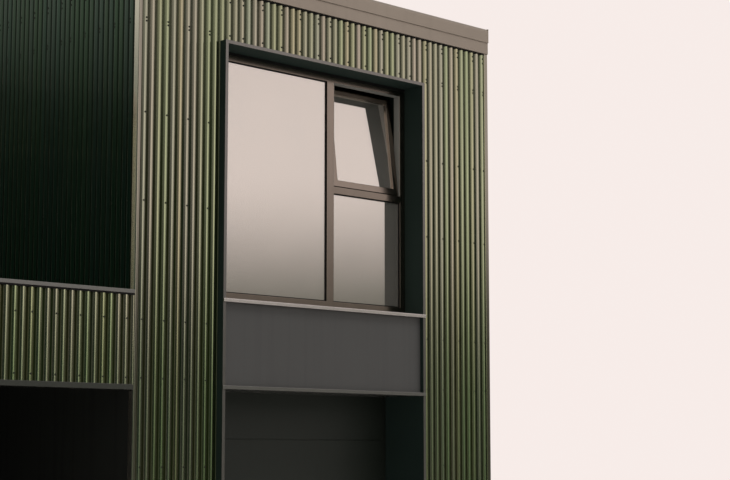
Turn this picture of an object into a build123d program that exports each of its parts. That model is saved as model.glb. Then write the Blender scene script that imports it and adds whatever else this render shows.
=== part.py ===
"""Single-family terrace house: a two-storey gabled volume clad in corrugated sheet, with a
carport bay under a roof terrace beside it.

X runs along the street front, Y from the street to the garden, Z up. The origin is at the
middle of the footprint, on the ground. All sizes are in millimetres.
"""

import os
from math import cos, pi, radians, tan

from build123d import *

os.makedirs("parts", exist_ok=True)

# Plan
MAIN_WIDTH = 4400
BAY_WIDTH = 3000
HOUSE_DEPTH = 8400
CARPORT_DEPTH = 5400
TERRACE_DEPTH = 3400

# Walls and floors
WALL_THICK = 400
PARTY_THICK = 300
INNER_WALL_THICK = 240
SLAB_THICK = 80
FLOOR_THICK = 280
UPPER_FLOOR_TOP = 2960
TERRACE_TOP = 2700
ROOF_THICK = 260
ROOF_DROP = 70
ROOF_PITCH = 20
FLAT_ROOF_DROP = 150

# Heights of the front
COPING_FOOT = 5860
COPING_STEP = 5980
COPING_TOP = 6130
SPANDREL_FOOT = 2300
SILL_TOP = 3090
WINDOW_HEAD = 5392
PARAPET_FOOT = 2270
PARAPET_TOP = 3105
PARAPET_CORE = 150
SETBACK_COPING_FOOT = 5490
SETBACK_COPING_TOP = 5730

# Corrugated cladding
WAVE_PITCH = 76
WAVE_DEPTH = 18
WAVE_FACETS = 8
BACKING = 42

# Tall opening
PIER_LEFT = 888
OPENING_WIDTH = 2514
SURROUND_FACE = 32
SURROUND_PROUD = 70
WINDOW_SETBACK = 180
SPANDREL_PROUD = 28

# Thin metal
FLASHING_HEIGHT = 32
FLASHING_PROUD = 12
DRIP_HEIGHT = 45
SPANDREL_DRIP = 30
DRIP_PROUD = 8
TRIM_LEFT = 32
TRIM_SIDE = 64
TRIM_RIGHT = 50
TRIM_THICK = 6
COPING_PROUD = 26
COPING_LOWER_PROUD = 16
COPING_CAP = 45

# Windows
FRAME_DEPTH = 80
FRAME_RAIL = 80
FRAME_JAMB = 70
MULLION_MIDDLE = 1484
MULLION_WIDTH = 90
TRANSOM_MIDDLE = 4240
TRANSOM_HEIGHT = 68
SASH_RAIL = 63
SASH_DEPTH = 66
SASH_CLEAR = 6
SASH_SEAT = 0.3
SASH_TILT = 7
GLASS_THICK = 24
GLASS_SETBACK = 20

# Doors
GARAGE_RAIL = 80
GARAGE_FRAME_DEPTH = 22
GARAGE_LEAF = 45
GARAGE_PANEL = 430
GARAGE_JOINT = 1875
GARAGE_JOINTS = 5
GROOVE_HEIGHT = 10
GROOVE_DEPTH = 6
DOOR_WIDTH = 980
DOOR_HEIGHT = 2150
DOOR_RAIL = 60
DOOR_LEAF = 60
DOOR_PLACE = 900
TERRACE_DOOR_WIDTH = 1800
TERRACE_DOOR_HEIGHT = 2200
TERRACE_DOOR_PLACE = 450
TERRACE_DOOR_PROUD = 12

# Chimney
CHIMNEY_LENGTH = 900
CHIMNEY_WIDTH = 420
CHIMNEY_TOP = 8000
CHIMNEY_CAP = 110
CHIMNEY_LIP = 25
CHIMNEY_PLACE = -1500
CHIMNEY_GAP = 120

# Lines worked out from the sizes above
HOUSE_WIDTH = MAIN_WIDTH + BAY_WIDTH
LEFT = -HOUSE_WIDTH / 2
RIGHT = HOUSE_WIDTH / 2
CORNER = LEFT + BAY_WIDTH
BAY_END = CORNER - TRIM_THICK
FRONT = -HOUSE_DEPTH / 2
REAR = HOUSE_DEPTH / 2
CLADDING = BACKING + WAVE_DEPTH
WALL_FRONT = FRONT + CLADDING
WALL_REAR = REAR - CLADDING
ROOM_FRONT = WALL_FRONT + WALL_THICK
ROOM_REAR = WALL_REAR - WALL_THICK
GARAGE_FLOOR = ROOM_FRONT + GARAGE_FRAME_DEPTH + GARAGE_LEAF
SIDE_FACE = CORNER + CLADDING
SIDE_INNER = SIDE_FACE + WALL_THICK
PARTY_FACE = RIGHT - PARTY_THICK
BAY_FACE = LEFT + PARTY_THICK
OPENING_LEFT = CORNER + PIER_LEFT
OPENING_RIGHT = OPENING_LEFT + OPENING_WIDTH
SETBACK_FRONT = FRONT + TERRACE_DEPTH
SETBACK_WALL = SETBACK_FRONT + CLADDING
SETBACK_ROOM = SETBACK_WALL + INNER_WALL_THICK
CARPORT_REAR = FRONT + CARPORT_DEPTH
HALL_FRONT = CARPORT_REAR + INNER_WALL_THICK
CARPORT_CEILING = TERRACE_TOP - FLOOR_THICK
WALL_TOP = COPING_TOP - COPING_CAP
SETBACK_WALL_TOP = SETBACK_COPING_TOP - COPING_CAP
ROOF_RISE = ROOM_REAR * tan(radians(ROOF_PITCH))
SILL_FOOT = SILL_TOP - FLASHING_HEIGHT
SPANDREL_PANEL_FOOT = SPANDREL_FOOT + SPANDREL_DRIP
REVEAL = CLADDING + WALL_THICK
LINED_LEFT = SURROUND_FACE
LINED_RIGHT = OPENING_WIDTH - SURROUND_FACE
LINED_HEAD = WINDOW_HEAD - SURROUND_FACE
LINED_SPAN = (LINED_LEFT, LINED_RIGHT)

# Wall planes: x to the right as seen from outside, y up, z outwards
FRONT_OPENING = Plane(origin=(OPENING_LEFT, FRONT, 0), x_dir=(1, 0, 0), z_dir=(0, -1, 0))
REAR_OPENING = Plane(origin=(OPENING_RIGHT, REAR, 0), x_dir=(-1, 0, 0), z_dir=(0, 1, 0))
terrace_door_left = BAY_FACE + TERRACE_DOOR_PLACE
terrace_sill = (terrace_door_left, SETBACK_FRONT, TERRACE_TOP)
TERRACE_OPENING = Plane(origin=terrace_sill, x_dir=(1, 0, 0), z_dir=(0, -1, 0))

# Cladding planes: x along the wall, y inwards, z up
FRONT_SHEET = Plane(origin=(0, FRONT, 0), x_dir=(1, 0, 0), z_dir=(0, 0, 1))
SETBACK_SHEET = Plane(origin=(0, SETBACK_FRONT, 0), x_dir=(1, 0, 0), z_dir=(0, 0, 1))
REAR_SHEET = Plane(origin=(0, REAR, 0), x_dir=(-1, 0, 0), z_dir=(0, 0, 1))
SIDE_SHEET = Plane(origin=(CORNER, 0, 0), x_dir=(0, -1, 0), z_dir=(0, 0, 1))


def block(x_span, y_span, z_span, plane=Plane.XY, mode=Mode.ADD):
    """Add or cut a plain block over three spans along a plane's axes."""
    width = x_span[1] - x_span[0]
    depth = y_span[1] - y_span[0]
    with BuildSketch(plane.offset(z_span[0])) as outline:
        with Locations((x_span[0] + width / 2, y_span[0] + depth / 2)):
            Rectangle(width, depth)
    extrude(outline.sketch, amount=z_span[1] - z_span[0], mode=mode)


def profile(points, plane, amount, mode=Mode.ADD):
    """Add or cut a straight-edged profile carried square to its plane."""
    with BuildSketch(plane) as outline:
        with BuildLine():
            Polyline(*points, close=True)
        make_face()
    extrude(outline.sketch, amount=amount, mode=mode)


def corrugated(plane, x_span, z_span, start):
    """Add a corrugated strip with a flat back, its wave a cosine drawn in short flats.

    The plane's y points into the wall. Crests lie at y = 0, the first of them at start, so
    that strips of one wall line up.
    """
    step = WAVE_PITCH / WAVE_FACETS
    first = int((x_span[0] - start) // step)
    last = int((x_span[1] - start) // step) + 1
    wave = [
        (start + index * step, WAVE_DEPTH / 2 * (1 - cos(2 * pi * index / WAVE_FACETS)))
        for index in range(first, last + 1)
    ]
    width = x_span[1] - x_span[0]
    with BuildSketch(plane.offset(z_span[0])) as sheet:
        with BuildLine():
            Polyline(*wave, (wave[-1][0], CLADDING), (wave[0][0], CLADDING), close=True)
        make_face()
        with Locations((x_span[0] + width / 2, CLADDING / 2)):
            Rectangle(width, CLADDING, mode=Mode.INTERSECT)
    extrude(sheet.sketch, amount=z_span[1] - z_span[0])


def roof_line(rise):
    """Eaves and ridge of the gable, raised by the given amount: three points of a side view."""
    return (
        (ROOM_FRONT, WALL_TOP + rise),
        (0, WALL_TOP + ROOF_RISE + rise),
        (ROOM_REAR, WALL_TOP + rise),
    )


def roof_band(low, high):
    """Outline of a band that follows both roof slopes between two rises."""
    return (*roof_line(high), *reversed(roof_line(low)))


def save(piece, label):
    """Name a finished piece and write it to its own file."""
    piece.part.label = label
    export_step(piece.part, f"parts/{label}.step")


# Floors
with BuildPart() as ground_slab:
    block((SIDE_INNER, PARTY_FACE), (GARAGE_FLOOR, ROOM_REAR), (0, SLAB_THICK))
    block((BAY_FACE, CORNER), (HALL_FRONT, ROOM_REAR), (0, SLAB_THICK))
save(ground_slab, "ground_slab")

with BuildPart() as upper_floor:
    floor_span = (UPPER_FLOOR_TOP - FLOOR_THICK, UPPER_FLOOR_TOP)
    block((SIDE_INNER, PARTY_FACE), (ROOM_FRONT, ROOM_REAR), floor_span)
save(upper_floor, "upper_floor")

# Gable walls of the main volume
with BuildPart() as left_wall:
    gable = ((ROOM_FRONT, 0), *roof_line(0), (ROOM_REAR, 0))
    profile(gable, Plane.YZ.offset(SIDE_FACE), WALL_THICK)
save(left_wall, "left_wall")

with BuildPart() as party_wall:
    profile(gable, Plane.YZ.offset(PARTY_FACE), PARTY_THICK)
save(party_wall, "party_wall")

# Street wall and garden wall, each with piers beside the tall opening and beams across it
for wall_name, wall_span in (("front", (WALL_FRONT, ROOM_FRONT)), ("rear", (ROOM_REAR, WALL_REAR))):
    with BuildPart() as wall_piers:
        block((SIDE_FACE, OPENING_LEFT), wall_span, (0, WALL_TOP))
        block((OPENING_RIGHT, RIGHT), wall_span, (0, WALL_TOP))
    save(wall_piers, f"{wall_name}_wall_piers")

    with BuildPart() as wall_beams:
        block((OPENING_LEFT, OPENING_RIGHT), wall_span, (WINDOW_HEAD, WALL_TOP))
        lined_span = (OPENING_LEFT + SURROUND_FACE, OPENING_RIGHT - SURROUND_FACE)
        block(lined_span, wall_span, (SPANDREL_PANEL_FOOT, SILL_FOOT))
    save(wall_beams, f"{wall_name}_wall_beams")

# Gabled roof slab between the gable walls
with BuildPart() as main_roof:
    slopes = roof_band(-ROOF_DROP - ROOF_THICK, -ROOF_DROP)
    profile(slopes, Plane.YZ.offset(SIDE_INNER), PARTY_FACE - SIDE_INNER)
save(main_roof, "main_roof")

# Side of the main volume inside the bay, plain where the carport and the hall stand against it
with BuildPart() as side_lining:
    lining = (
        (WALL_FRONT, 0),
        (WALL_FRONT, TERRACE_TOP),
        (SETBACK_WALL, TERRACE_TOP),
        (SETBACK_WALL, SETBACK_WALL_TOP),
        (WALL_REAR, SETBACK_WALL_TOP),
        (WALL_REAR, 0),
    )
    profile(lining, Plane.YZ.offset(CORNER), CLADDING)
save(side_lining, "side_lining")

# Bay: party wall, carport rear wall, terrace slab, set-back room
with BuildPart() as bay_party_wall:
    outline = (
        (FRONT, 0),
        (FRONT, PARAPET_FOOT),
        (WALL_FRONT, PARAPET_FOOT),
        (WALL_FRONT, PARAPET_TOP - FLASHING_HEIGHT),
        (SETBACK_FRONT, PARAPET_TOP - FLASHING_HEIGHT),
        (SETBACK_FRONT, TERRACE_TOP),
        (SETBACK_WALL, TERRACE_TOP),
        (SETBACK_WALL, SETBACK_WALL_TOP),
        (WALL_REAR, SETBACK_WALL_TOP),
        (WALL_REAR, 0),
    )
    profile(outline, Plane.YZ.offset(LEFT), PARTY_THICK)
save(bay_party_wall, "bay_party_wall")

with BuildPart() as bay_rear_wall:
    block((BAY_FACE, CORNER), (ROOM_REAR, WALL_REAR), (0, SETBACK_WALL_TOP))
save(bay_rear_wall, "bay_rear_wall")

with BuildPart() as carport_rear_wall:
    block((BAY_FACE, CORNER), (CARPORT_REAR, HALL_FRONT), (0, CARPORT_CEILING))
    door_span = (BAY_FACE + DOOR_PLACE, BAY_FACE + DOOR_PLACE + DOOR_WIDTH)
    block(door_span, (CARPORT_REAR, HALL_FRONT), (0, DOOR_HEIGHT), mode=Mode.SUBTRACT)
save(carport_rear_wall, "carport_rear_wall")

with BuildPart() as terrace_slab:
    slab_depth = (WALL_FRONT + PARAPET_CORE, ROOM_REAR)
    block((BAY_FACE, CORNER), slab_depth, (CARPORT_CEILING, TERRACE_TOP))
save(terrace_slab, "terrace_slab")

with BuildPart() as setback_wall:
    block((BAY_FACE, CORNER), (SETBACK_WALL, SETBACK_ROOM), (TERRACE_TOP, SETBACK_WALL_TOP))
    terrace_door = ((0, TERRACE_DOOR_WIDTH), (0, TERRACE_DOOR_HEIGHT))
    setback_depth = (SETBACK_FRONT - SETBACK_ROOM, 0)
    block(*terrace_door, setback_depth, TERRACE_OPENING, Mode.SUBTRACT)
save(setback_wall, "setback_wall")

with BuildPart() as setback_roof:
    flat_top = SETBACK_WALL_TOP - FLAT_ROOF_DROP
    block((BAY_FACE, CORNER), (SETBACK_ROOM, ROOM_REAR), (flat_top - ROOF_THICK, flat_top))
save(setback_roof, "setback_roof")

# Corrugated cladding of the street front, in strips beside and above the tall opening
with BuildPart() as front_cladding:
    corrugated(FRONT_SHEET, (CORNER, OPENING_LEFT), (0, WALL_TOP), CORNER)
    corrugated(FRONT_SHEET, (OPENING_RIGHT, RIGHT), (0, WALL_TOP), CORNER)
save(front_cladding, "front_cladding")

with BuildPart() as front_cladding_head:
    head_span = (WINDOW_HEAD, WALL_TOP)
    corrugated(FRONT_SHEET, (OPENING_LEFT, OPENING_RIGHT), head_span, CORNER)
save(front_cladding_head, "front_cladding_head")

# Cladding of the side that looks over the terrace, cut to the gable and to the lower roof
with BuildPart() as side_cladding:
    ridge = WALL_TOP + ROOF_RISE
    corrugated(SIDE_SHEET, (-WALL_REAR, -WALL_FRONT), (TERRACE_TOP, ridge), -WALL_FRONT)
    over_ridge = ridge + COPING_CAP
    roof_cut = (
        (WALL_FRONT, over_ridge),
        (WALL_FRONT, WALL_TOP),
        *roof_line(0),
        (WALL_REAR, WALL_TOP),
        (WALL_REAR, over_ridge),
    )
    profile(roof_cut, Plane.YZ.offset(CORNER), CLADDING, mode=Mode.SUBTRACT)
    below = (
        (SETBACK_WALL, TERRACE_TOP),
        (SETBACK_WALL, SETBACK_COPING_TOP),
        (WALL_REAR, SETBACK_COPING_TOP),
        (WALL_REAR, TERRACE_TOP),
    )
    profile(below, Plane.YZ.offset(CORNER), CLADDING, mode=Mode.SUBTRACT)
save(side_cladding, "side_cladding")

with BuildPart() as setback_cladding:
    corrugated(SETBACK_SHEET, (LEFT, CORNER), (TERRACE_TOP, SETBACK_WALL_TOP), LEFT)
    block(*terrace_door, setback_depth, TERRACE_OPENING, Mode.SUBTRACT)
save(setback_cladding, "setback_cladding")

with BuildPart() as rear_cladding:
    corrugated(REAR_SHEET, (-OPENING_LEFT, -CORNER), (0, WALL_TOP), -RIGHT)
    corrugated(REAR_SHEET, (-RIGHT, -OPENING_RIGHT), (0, WALL_TOP), -RIGHT)
save(rear_cladding, "rear_cladding")

with BuildPart() as rear_cladding_head:
    corrugated(REAR_SHEET, (-OPENING_RIGHT, -OPENING_LEFT), head_span, -RIGHT)
save(rear_cladding_head, "rear_cladding_head")

with BuildPart() as bay_rear_cladding:
    corrugated(REAR_SHEET, (-CORNER, -LEFT), (0, SETBACK_WALL_TOP), -RIGHT)
save(bay_rear_cladding, "bay_rear_cladding")

# Parapet over the carport: clad core between two flashings
with BuildPart() as parapet_core:
    core_span = (PARAPET_FOOT + DRIP_HEIGHT, PARAPET_TOP - FLASHING_HEIGHT)
    block((BAY_FACE, BAY_END), (WALL_FRONT, WALL_FRONT + PARAPET_CORE), core_span)
save(parapet_core, "parapet_core")

with BuildPart() as parapet_cladding:
    corrugated(FRONT_SHEET, (LEFT, BAY_END), core_span, CORNER)
save(parapet_cladding, "parapet_cladding")

with BuildPart() as parapet_top_flashing:
    cap_depth = (FRONT - FLASHING_PROUD, WALL_FRONT + PARAPET_CORE + FLASHING_PROUD)
    block((LEFT, BAY_END), cap_depth, (PARAPET_TOP - FLASHING_HEIGHT, PARAPET_TOP))
save(parapet_top_flashing, "parapet_top_flashing")

with BuildPart() as parapet_bottom_flashing:
    drip_depth = (FRONT - DRIP_PROUD, WALL_FRONT + PARAPET_CORE)
    drip_span = (PARAPET_FOOT, PARAPET_FOOT + DRIP_HEIGHT)
    block((BAY_FACE, BAY_END), drip_depth, drip_span)
save(parapet_bottom_flashing, "parapet_bottom_flashing")

# Folded angles over the sheet ends at the corners
with BuildPart() as corner_trims:
    trim_face = (FRONT - TRIM_THICK, FRONT)
    trim_height = (0, COPING_FOOT)
    block((BAY_END, BAY_END + TRIM_LEFT), trim_face, trim_height)
    block((BAY_END, CORNER), (FRONT, FRONT - TRIM_THICK + TRIM_SIDE), trim_height)
    block((RIGHT - TRIM_RIGHT, RIGHT), trim_face, trim_height)
save(corner_trims, "corner_trims")

# Tall openings in the street wall and the garden wall: lined surround, sill, spandrel, drip
for wall_name, opening in (("front", FRONT_OPENING), ("rear", REAR_OPENING)):
    with BuildPart() as surround:
        surround_depth = (-REVEAL, SURROUND_PROUD)
        block((0, OPENING_WIDTH), (0, WINDOW_HEAD), surround_depth, opening)
        block(LINED_SPAN, (0, LINED_HEAD), surround_depth, opening, Mode.SUBTRACT)
    save(surround, f"{wall_name}_surround")

    with BuildPart() as sill_flashing:
        sill_span = (SILL_FOOT, SILL_TOP)
        sill_nose = (SURROUND_PROUD, SURROUND_PROUD + FLASHING_PROUD)
        block(LINED_SPAN, sill_span, (-REVEAL, SURROUND_PROUD), opening)
        block((0, OPENING_WIDTH), sill_span, sill_nose, opening)
    save(sill_flashing, f"{wall_name}_sill_flashing")

    with BuildPart() as spandrel_panel:
        block(LINED_SPAN, (SPANDREL_PANEL_FOOT, SILL_FOOT), (-CLADDING, SPANDREL_PROUD), opening)
    save(spandrel_panel, f"{wall_name}_spandrel_panel")

    with BuildPart() as spandrel_flashing:
        drip_span = (SPANDREL_FOOT, SPANDREL_PANEL_FOOT)
        drip_nose = (SURROUND_PROUD, SURROUND_PROUD + DRIP_PROUD)
        block(LINED_SPAN, drip_span, (-REVEAL, SURROUND_PROUD), opening)
        block((0, OPENING_WIDTH), drip_span, drip_nose, opening)
    save(spandrel_flashing, f"{wall_name}_spandrel_flashing")

# Street window: a wide fixed pane, a lower light and a tilting sash above the transom
frame_depth = (-WINDOW_SETBACK - FRAME_DEPTH, -WINDOW_SETBACK)
glass_face = -WINDOW_SETBACK - GLASS_SETBACK
glass_depth = (glass_face - GLASS_THICK, glass_face)
pane_foot = SILL_TOP + FRAME_RAIL
pane_head = LINED_HEAD - FRAME_RAIL
transom_foot = TRANSOM_MIDDLE - TRANSOM_HEIGHT / 2
transom_top = TRANSOM_MIDDLE + TRANSOM_HEIGHT / 2
pane_left = LINED_LEFT + FRAME_JAMB
pane_right = LINED_RIGHT - FRAME_JAMB
mullion_left = MULLION_MIDDLE - MULLION_WIDTH / 2
mullion_right = MULLION_MIDDLE + MULLION_WIDTH / 2
wide_light = ((pane_left, mullion_left), (pane_foot, pane_head))
low_light = ((mullion_right, pane_right), (pane_foot, transom_foot))
sash_light = ((mullion_right, pane_right), (transom_top, pane_head))
with BuildPart() as window_frame:
    block(LINED_SPAN, (SILL_TOP, LINED_HEAD), frame_depth, FRONT_OPENING)
    for light in (wide_light, low_light, sash_light):
        block(*light, frame_depth, FRONT_OPENING, Mode.SUBTRACT)
save(window_frame, "window_frame")

# The sash leans into the room about its lower back edge
sash_width = pane_right - mullion_right - 2 * SASH_CLEAR
sash_height = pane_head - transom_top - 2 * SASH_CLEAR
sash_foot = (mullion_right + SASH_CLEAR, transom_top + SASH_SEAT, frame_depth[0])
hinge = FRONT_OPENING.from_local_coords(sash_foot)
sash_plane = Plane(origin=hinge, x_dir=(1, 0, 0), z_dir=(0, -1, 0)).rotated((-SASH_TILT, 0, 0))
with BuildPart() as tilt_sash:
    block((0, sash_width), (0, sash_height), (0, SASH_DEPTH), sash_plane)
    sash_light_x = (SASH_RAIL, sash_width - SASH_RAIL)
    sash_light_z = (SASH_RAIL, sash_height - SASH_RAIL)
    block(sash_light_x, sash_light_z, (0, SASH_DEPTH), sash_plane, Mode.SUBTRACT)
save(tilt_sash, "tilt_sash")

with BuildPart() as window_glass:
    block(*wide_light, glass_depth, FRONT_OPENING)
    block(*low_light, glass_depth, FRONT_OPENING)
    sash_glass_depth = (SASH_DEPTH - GLASS_SETBACK - GLASS_THICK, SASH_DEPTH - GLASS_SETBACK)
    block(sash_light_x, sash_light_z, sash_glass_depth, sash_plane)
save(window_glass, "window_glass")

# Door from the set-back room to the terrace: a leaf and a side light of one width
terrace_frame_depth = (-CLADDING - FRAME_DEPTH, TERRACE_DOOR_PROUD)
terrace_mullion = TERRACE_DOOR_WIDTH / 2
terrace_light_z = (FRAME_RAIL, TERRACE_DOOR_HEIGHT - FRAME_RAIL)
terrace_lights = (
    ((FRAME_JAMB, terrace_mullion - MULLION_WIDTH / 2), terrace_light_z),
    ((terrace_mullion + MULLION_WIDTH / 2, TERRACE_DOOR_WIDTH - FRAME_JAMB), terrace_light_z),
)
with BuildPart() as terrace_door_frame:
    block(*terrace_door, terrace_frame_depth, TERRACE_OPENING)
    for light in terrace_lights:
        block(*light, terrace_frame_depth, TERRACE_OPENING, Mode.SUBTRACT)
save(terrace_door_frame, "terrace_door_frame")

with BuildPart() as terrace_door_glass:
    terrace_glass_depth = (-CLADDING - GLASS_SETBACK - GLASS_THICK, -CLADDING - GLASS_SETBACK)
    for light in terrace_lights:
        block(*light, terrace_glass_depth, TERRACE_OPENING)
save(terrace_door_glass, "terrace_door_glass")

# Sectional garage door behind its frame
garage_back = -REVEAL - GARAGE_FRAME_DEPTH
with BuildPart() as garage_frame:
    garage_outer = (-GARAGE_RAIL, OPENING_WIDTH + GARAGE_RAIL)
    garage_depth = (garage_back, -REVEAL)
    block(garage_outer, (0, SPANDREL_FOOT + GARAGE_RAIL), garage_depth, FRONT_OPENING)
    block(LINED_SPAN, (0, SPANDREL_FOOT), garage_depth, FRONT_OPENING, Mode.SUBTRACT)
save(garage_frame, "garage_frame")

with BuildPart() as garage_door:
    leaf_depth = (garage_back - GARAGE_LEAF, garage_back)
    leaf_span = (-GARAGE_RAIL / 2, OPENING_WIDTH + GARAGE_RAIL / 2)
    block(leaf_span, (0, SPANDREL_FOOT + GARAGE_RAIL / 2), leaf_depth, FRONT_OPENING)
    for row in range(GARAGE_JOINTS):
        joint = GARAGE_JOINT - row * GARAGE_PANEL
        groove = (joint - GROOVE_HEIGHT / 2, joint + GROOVE_HEIGHT / 2)
        block(leaf_span, groove, (garage_back - GROOVE_DEPTH, garage_back), FRONT_OPENING, Mode.SUBTRACT)
save(garage_door, "garage_door")

# Garden side: a two-light window above a two-light door
with BuildPart() as rear_window_frames:
    rear_lights = []
    for foot, head in ((SILL_TOP, LINED_HEAD), (SLAB_THICK, SPANDREL_FOOT)):
        block(LINED_SPAN, (foot, head), frame_depth, REAR_OPENING)
        for light_span in ((pane_left, mullion_left), (mullion_right, pane_right)):
            light = (light_span, (foot + FRAME_RAIL, head - FRAME_RAIL))
            block(*light, frame_depth, REAR_OPENING, Mode.SUBTRACT)
            rear_lights.append(light)
save(rear_window_frames, "rear_window_frames")

with BuildPart() as rear_window_glass:
    for light in rear_lights:
        block(*light, glass_depth, REAR_OPENING)
save(rear_window_glass, "rear_window_glass")

with BuildPart() as rear_door_threshold:
    block(LINED_SPAN, (0, SLAB_THICK), (-REVEAL, 0), REAR_OPENING)
save(rear_door_threshold, "rear_door_threshold")

# Entrance at the back of the carport
with BuildPart() as entrance_frame:
    block(door_span, (CARPORT_REAR, HALL_FRONT), (0, DOOR_HEIGHT))
    door_light = (door_span[0] + DOOR_RAIL, door_span[1] - DOOR_RAIL)
    block(door_light, (CARPORT_REAR, HALL_FRONT), (0, DOOR_HEIGHT - DOOR_RAIL), mode=Mode.SUBTRACT)
save(entrance_frame, "entrance_frame")

with BuildPart() as entrance_door:
    leaf_back = HALL_FRONT - DOOR_LEAF
    block(door_light, (leaf_back, HALL_FRONT), (0, DOOR_HEIGHT - DOOR_RAIL))
save(entrance_door, "entrance_door")

# Sheet-metal copings: level over the street and garden walls, raked over the gables
for wall_name, outside, inside in (("front", FRONT, ROOM_FRONT), ("rear", REAR, ROOM_REAR)):
    with BuildPart() as level_coping:
        outward = 1 if outside > 0 else -1
        face = outside + outward * COPING_PROUD
        lower_face = outside + outward * COPING_LOWER_PROUD
        west = CORNER - COPING_PROUD
        block((west, RIGHT), sorted((face, inside)), (WALL_TOP, COPING_TOP))
        block((west, RIGHT), sorted((face, outside)), (COPING_STEP, WALL_TOP))
        block((west, RIGHT), sorted((lower_face, outside)), (COPING_FOOT, COPING_STEP))
        block((west, CORNER), sorted((outside, inside)), (COPING_FOOT, WALL_TOP))
    save(level_coping, f"{wall_name}_coping")

with BuildPart() as left_coping:
    cap = roof_band(0, COPING_CAP)
    fascia = roof_band(COPING_FOOT - WALL_TOP, 0)
    profile(cap, Plane.YZ.offset(CORNER - COPING_PROUD), SIDE_INNER - CORNER + COPING_PROUD)
    profile(fascia, Plane.YZ.offset(CORNER - COPING_PROUD), COPING_PROUD)
save(left_coping, "left_coping")

with BuildPart() as party_coping:
    profile(cap, Plane.YZ.offset(PARTY_FACE), PARTY_THICK)
save(party_coping, "party_coping")

with BuildPart() as setback_coping:
    setback_face = SETBACK_FRONT - COPING_PROUD
    setback_cap = (SETBACK_WALL_TOP, SETBACK_COPING_TOP)
    block((LEFT, CORNER), (setback_face, SETBACK_ROOM), setback_cap)
    block((LEFT, CORNER), (setback_face, SETBACK_FRONT), (SETBACK_COPING_FOOT, SETBACK_WALL_TOP))
    block((LEFT, BAY_FACE), (SETBACK_ROOM, WALL_REAR), setback_cap)
    block((LEFT, CORNER), (WALL_REAR, REAR + COPING_PROUD), setback_cap)
    block((BAY_FACE, CORNER), (ROOM_REAR, WALL_REAR), setback_cap)
    block((LEFT, CORNER), (REAR, REAR + COPING_PROUD), (SETBACK_COPING_FOOT, SETBACK_WALL_TOP))
save(setback_coping, "setback_coping")

# Chimney with rounded ends, standing on the street slope close to the outer gable
with BuildPart() as chimney_stack:
    roof_eaves = WALL_TOP - ROOF_DROP
    chimney_x = SIDE_INNER + CHIMNEY_GAP + CHIMNEY_WIDTH / 2
    with BuildSketch(Plane.XY.offset(roof_eaves)):
        with Locations((chimney_x, CHIMNEY_PLACE)):
            SlotOverall(CHIMNEY_LENGTH, CHIMNEY_WIDTH, rotation=90)
    extrude(amount=CHIMNEY_TOP - CHIMNEY_CAP - roof_eaves)
    under_roof = roof_line(-ROOF_DROP)
    profile(under_roof, Plane.YZ.offset(SIDE_INNER), PARTY_FACE - SIDE_INNER, mode=Mode.SUBTRACT)
save(chimney_stack, "chimney_stack")

with BuildPart() as chimney_cap:
    with BuildSketch(Plane.XY.offset(CHIMNEY_TOP - CHIMNEY_CAP)):
        with Locations((chimney_x, CHIMNEY_PLACE)):
            SlotOverall(CHIMNEY_LENGTH + 2 * CHIMNEY_LIP, CHIMNEY_WIDTH + 2 * CHIMNEY_LIP, rotation=90)
    extrude(amount=CHIMNEY_CAP)
save(chimney_cap, "chimney_cap")
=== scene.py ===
"""Looks of a terrace house: a gabled volume in corrugated sheet beside a carport bay.

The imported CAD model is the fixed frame. This script dresses its nodes with procedural
finishes, puts smooth sheets, softened metalwork and small parts in place of the nodes that
were built plainly, and sets up a pale studio. All sizes are in metres, in the CAD's frame:
X along the street front, Y from the street to the garden, Z up.
"""

import logging
import math
from dataclasses import dataclass, field, replace
from enum import Enum
from typing import Callable, Sequence

import bmesh
import bpy
import numpy as np
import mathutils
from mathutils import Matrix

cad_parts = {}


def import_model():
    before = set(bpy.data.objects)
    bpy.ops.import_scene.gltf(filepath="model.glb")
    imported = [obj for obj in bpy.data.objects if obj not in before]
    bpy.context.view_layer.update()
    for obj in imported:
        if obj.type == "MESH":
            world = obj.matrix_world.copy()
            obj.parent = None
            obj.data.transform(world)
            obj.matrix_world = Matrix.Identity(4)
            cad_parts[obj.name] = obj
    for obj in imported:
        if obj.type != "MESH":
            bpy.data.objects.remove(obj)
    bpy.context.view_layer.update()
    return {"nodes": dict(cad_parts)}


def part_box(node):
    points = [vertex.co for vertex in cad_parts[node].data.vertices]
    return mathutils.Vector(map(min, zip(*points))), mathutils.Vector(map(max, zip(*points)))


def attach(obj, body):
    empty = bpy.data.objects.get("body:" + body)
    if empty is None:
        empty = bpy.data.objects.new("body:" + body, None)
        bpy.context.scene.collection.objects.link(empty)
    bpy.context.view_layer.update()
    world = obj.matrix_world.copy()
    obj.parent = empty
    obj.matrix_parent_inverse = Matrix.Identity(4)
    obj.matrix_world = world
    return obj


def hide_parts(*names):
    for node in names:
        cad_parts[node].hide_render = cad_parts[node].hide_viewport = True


LOG = logging.getLogger("terrace_house")

Array = np.ndarray
Shape = tuple[np.ndarray, np.ndarray]
Line = Callable[[np.ndarray], np.ndarray]
Range = tuple[float, float]
Vector = tuple[float, float, float]
Colour = tuple[float, float, float]
Socket = bpy.types.NodeSocket


class Slot(Enum):
    """The record's material slots that new pieces take their finish from."""

    SHEET = "corrugated_sheet"
    COPING = "coping"
    FLASHING = "flashing"
    SPANDREL = "spandrel"
    FRAME = "window_frame"
    DOOR = "door_sheet"
    GLASS = "glass"
    RENDER = "render"
    CONCRETE = "concrete"
    ROOF = "roof_sheet"
    CHIMNEY = "chimney"


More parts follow.
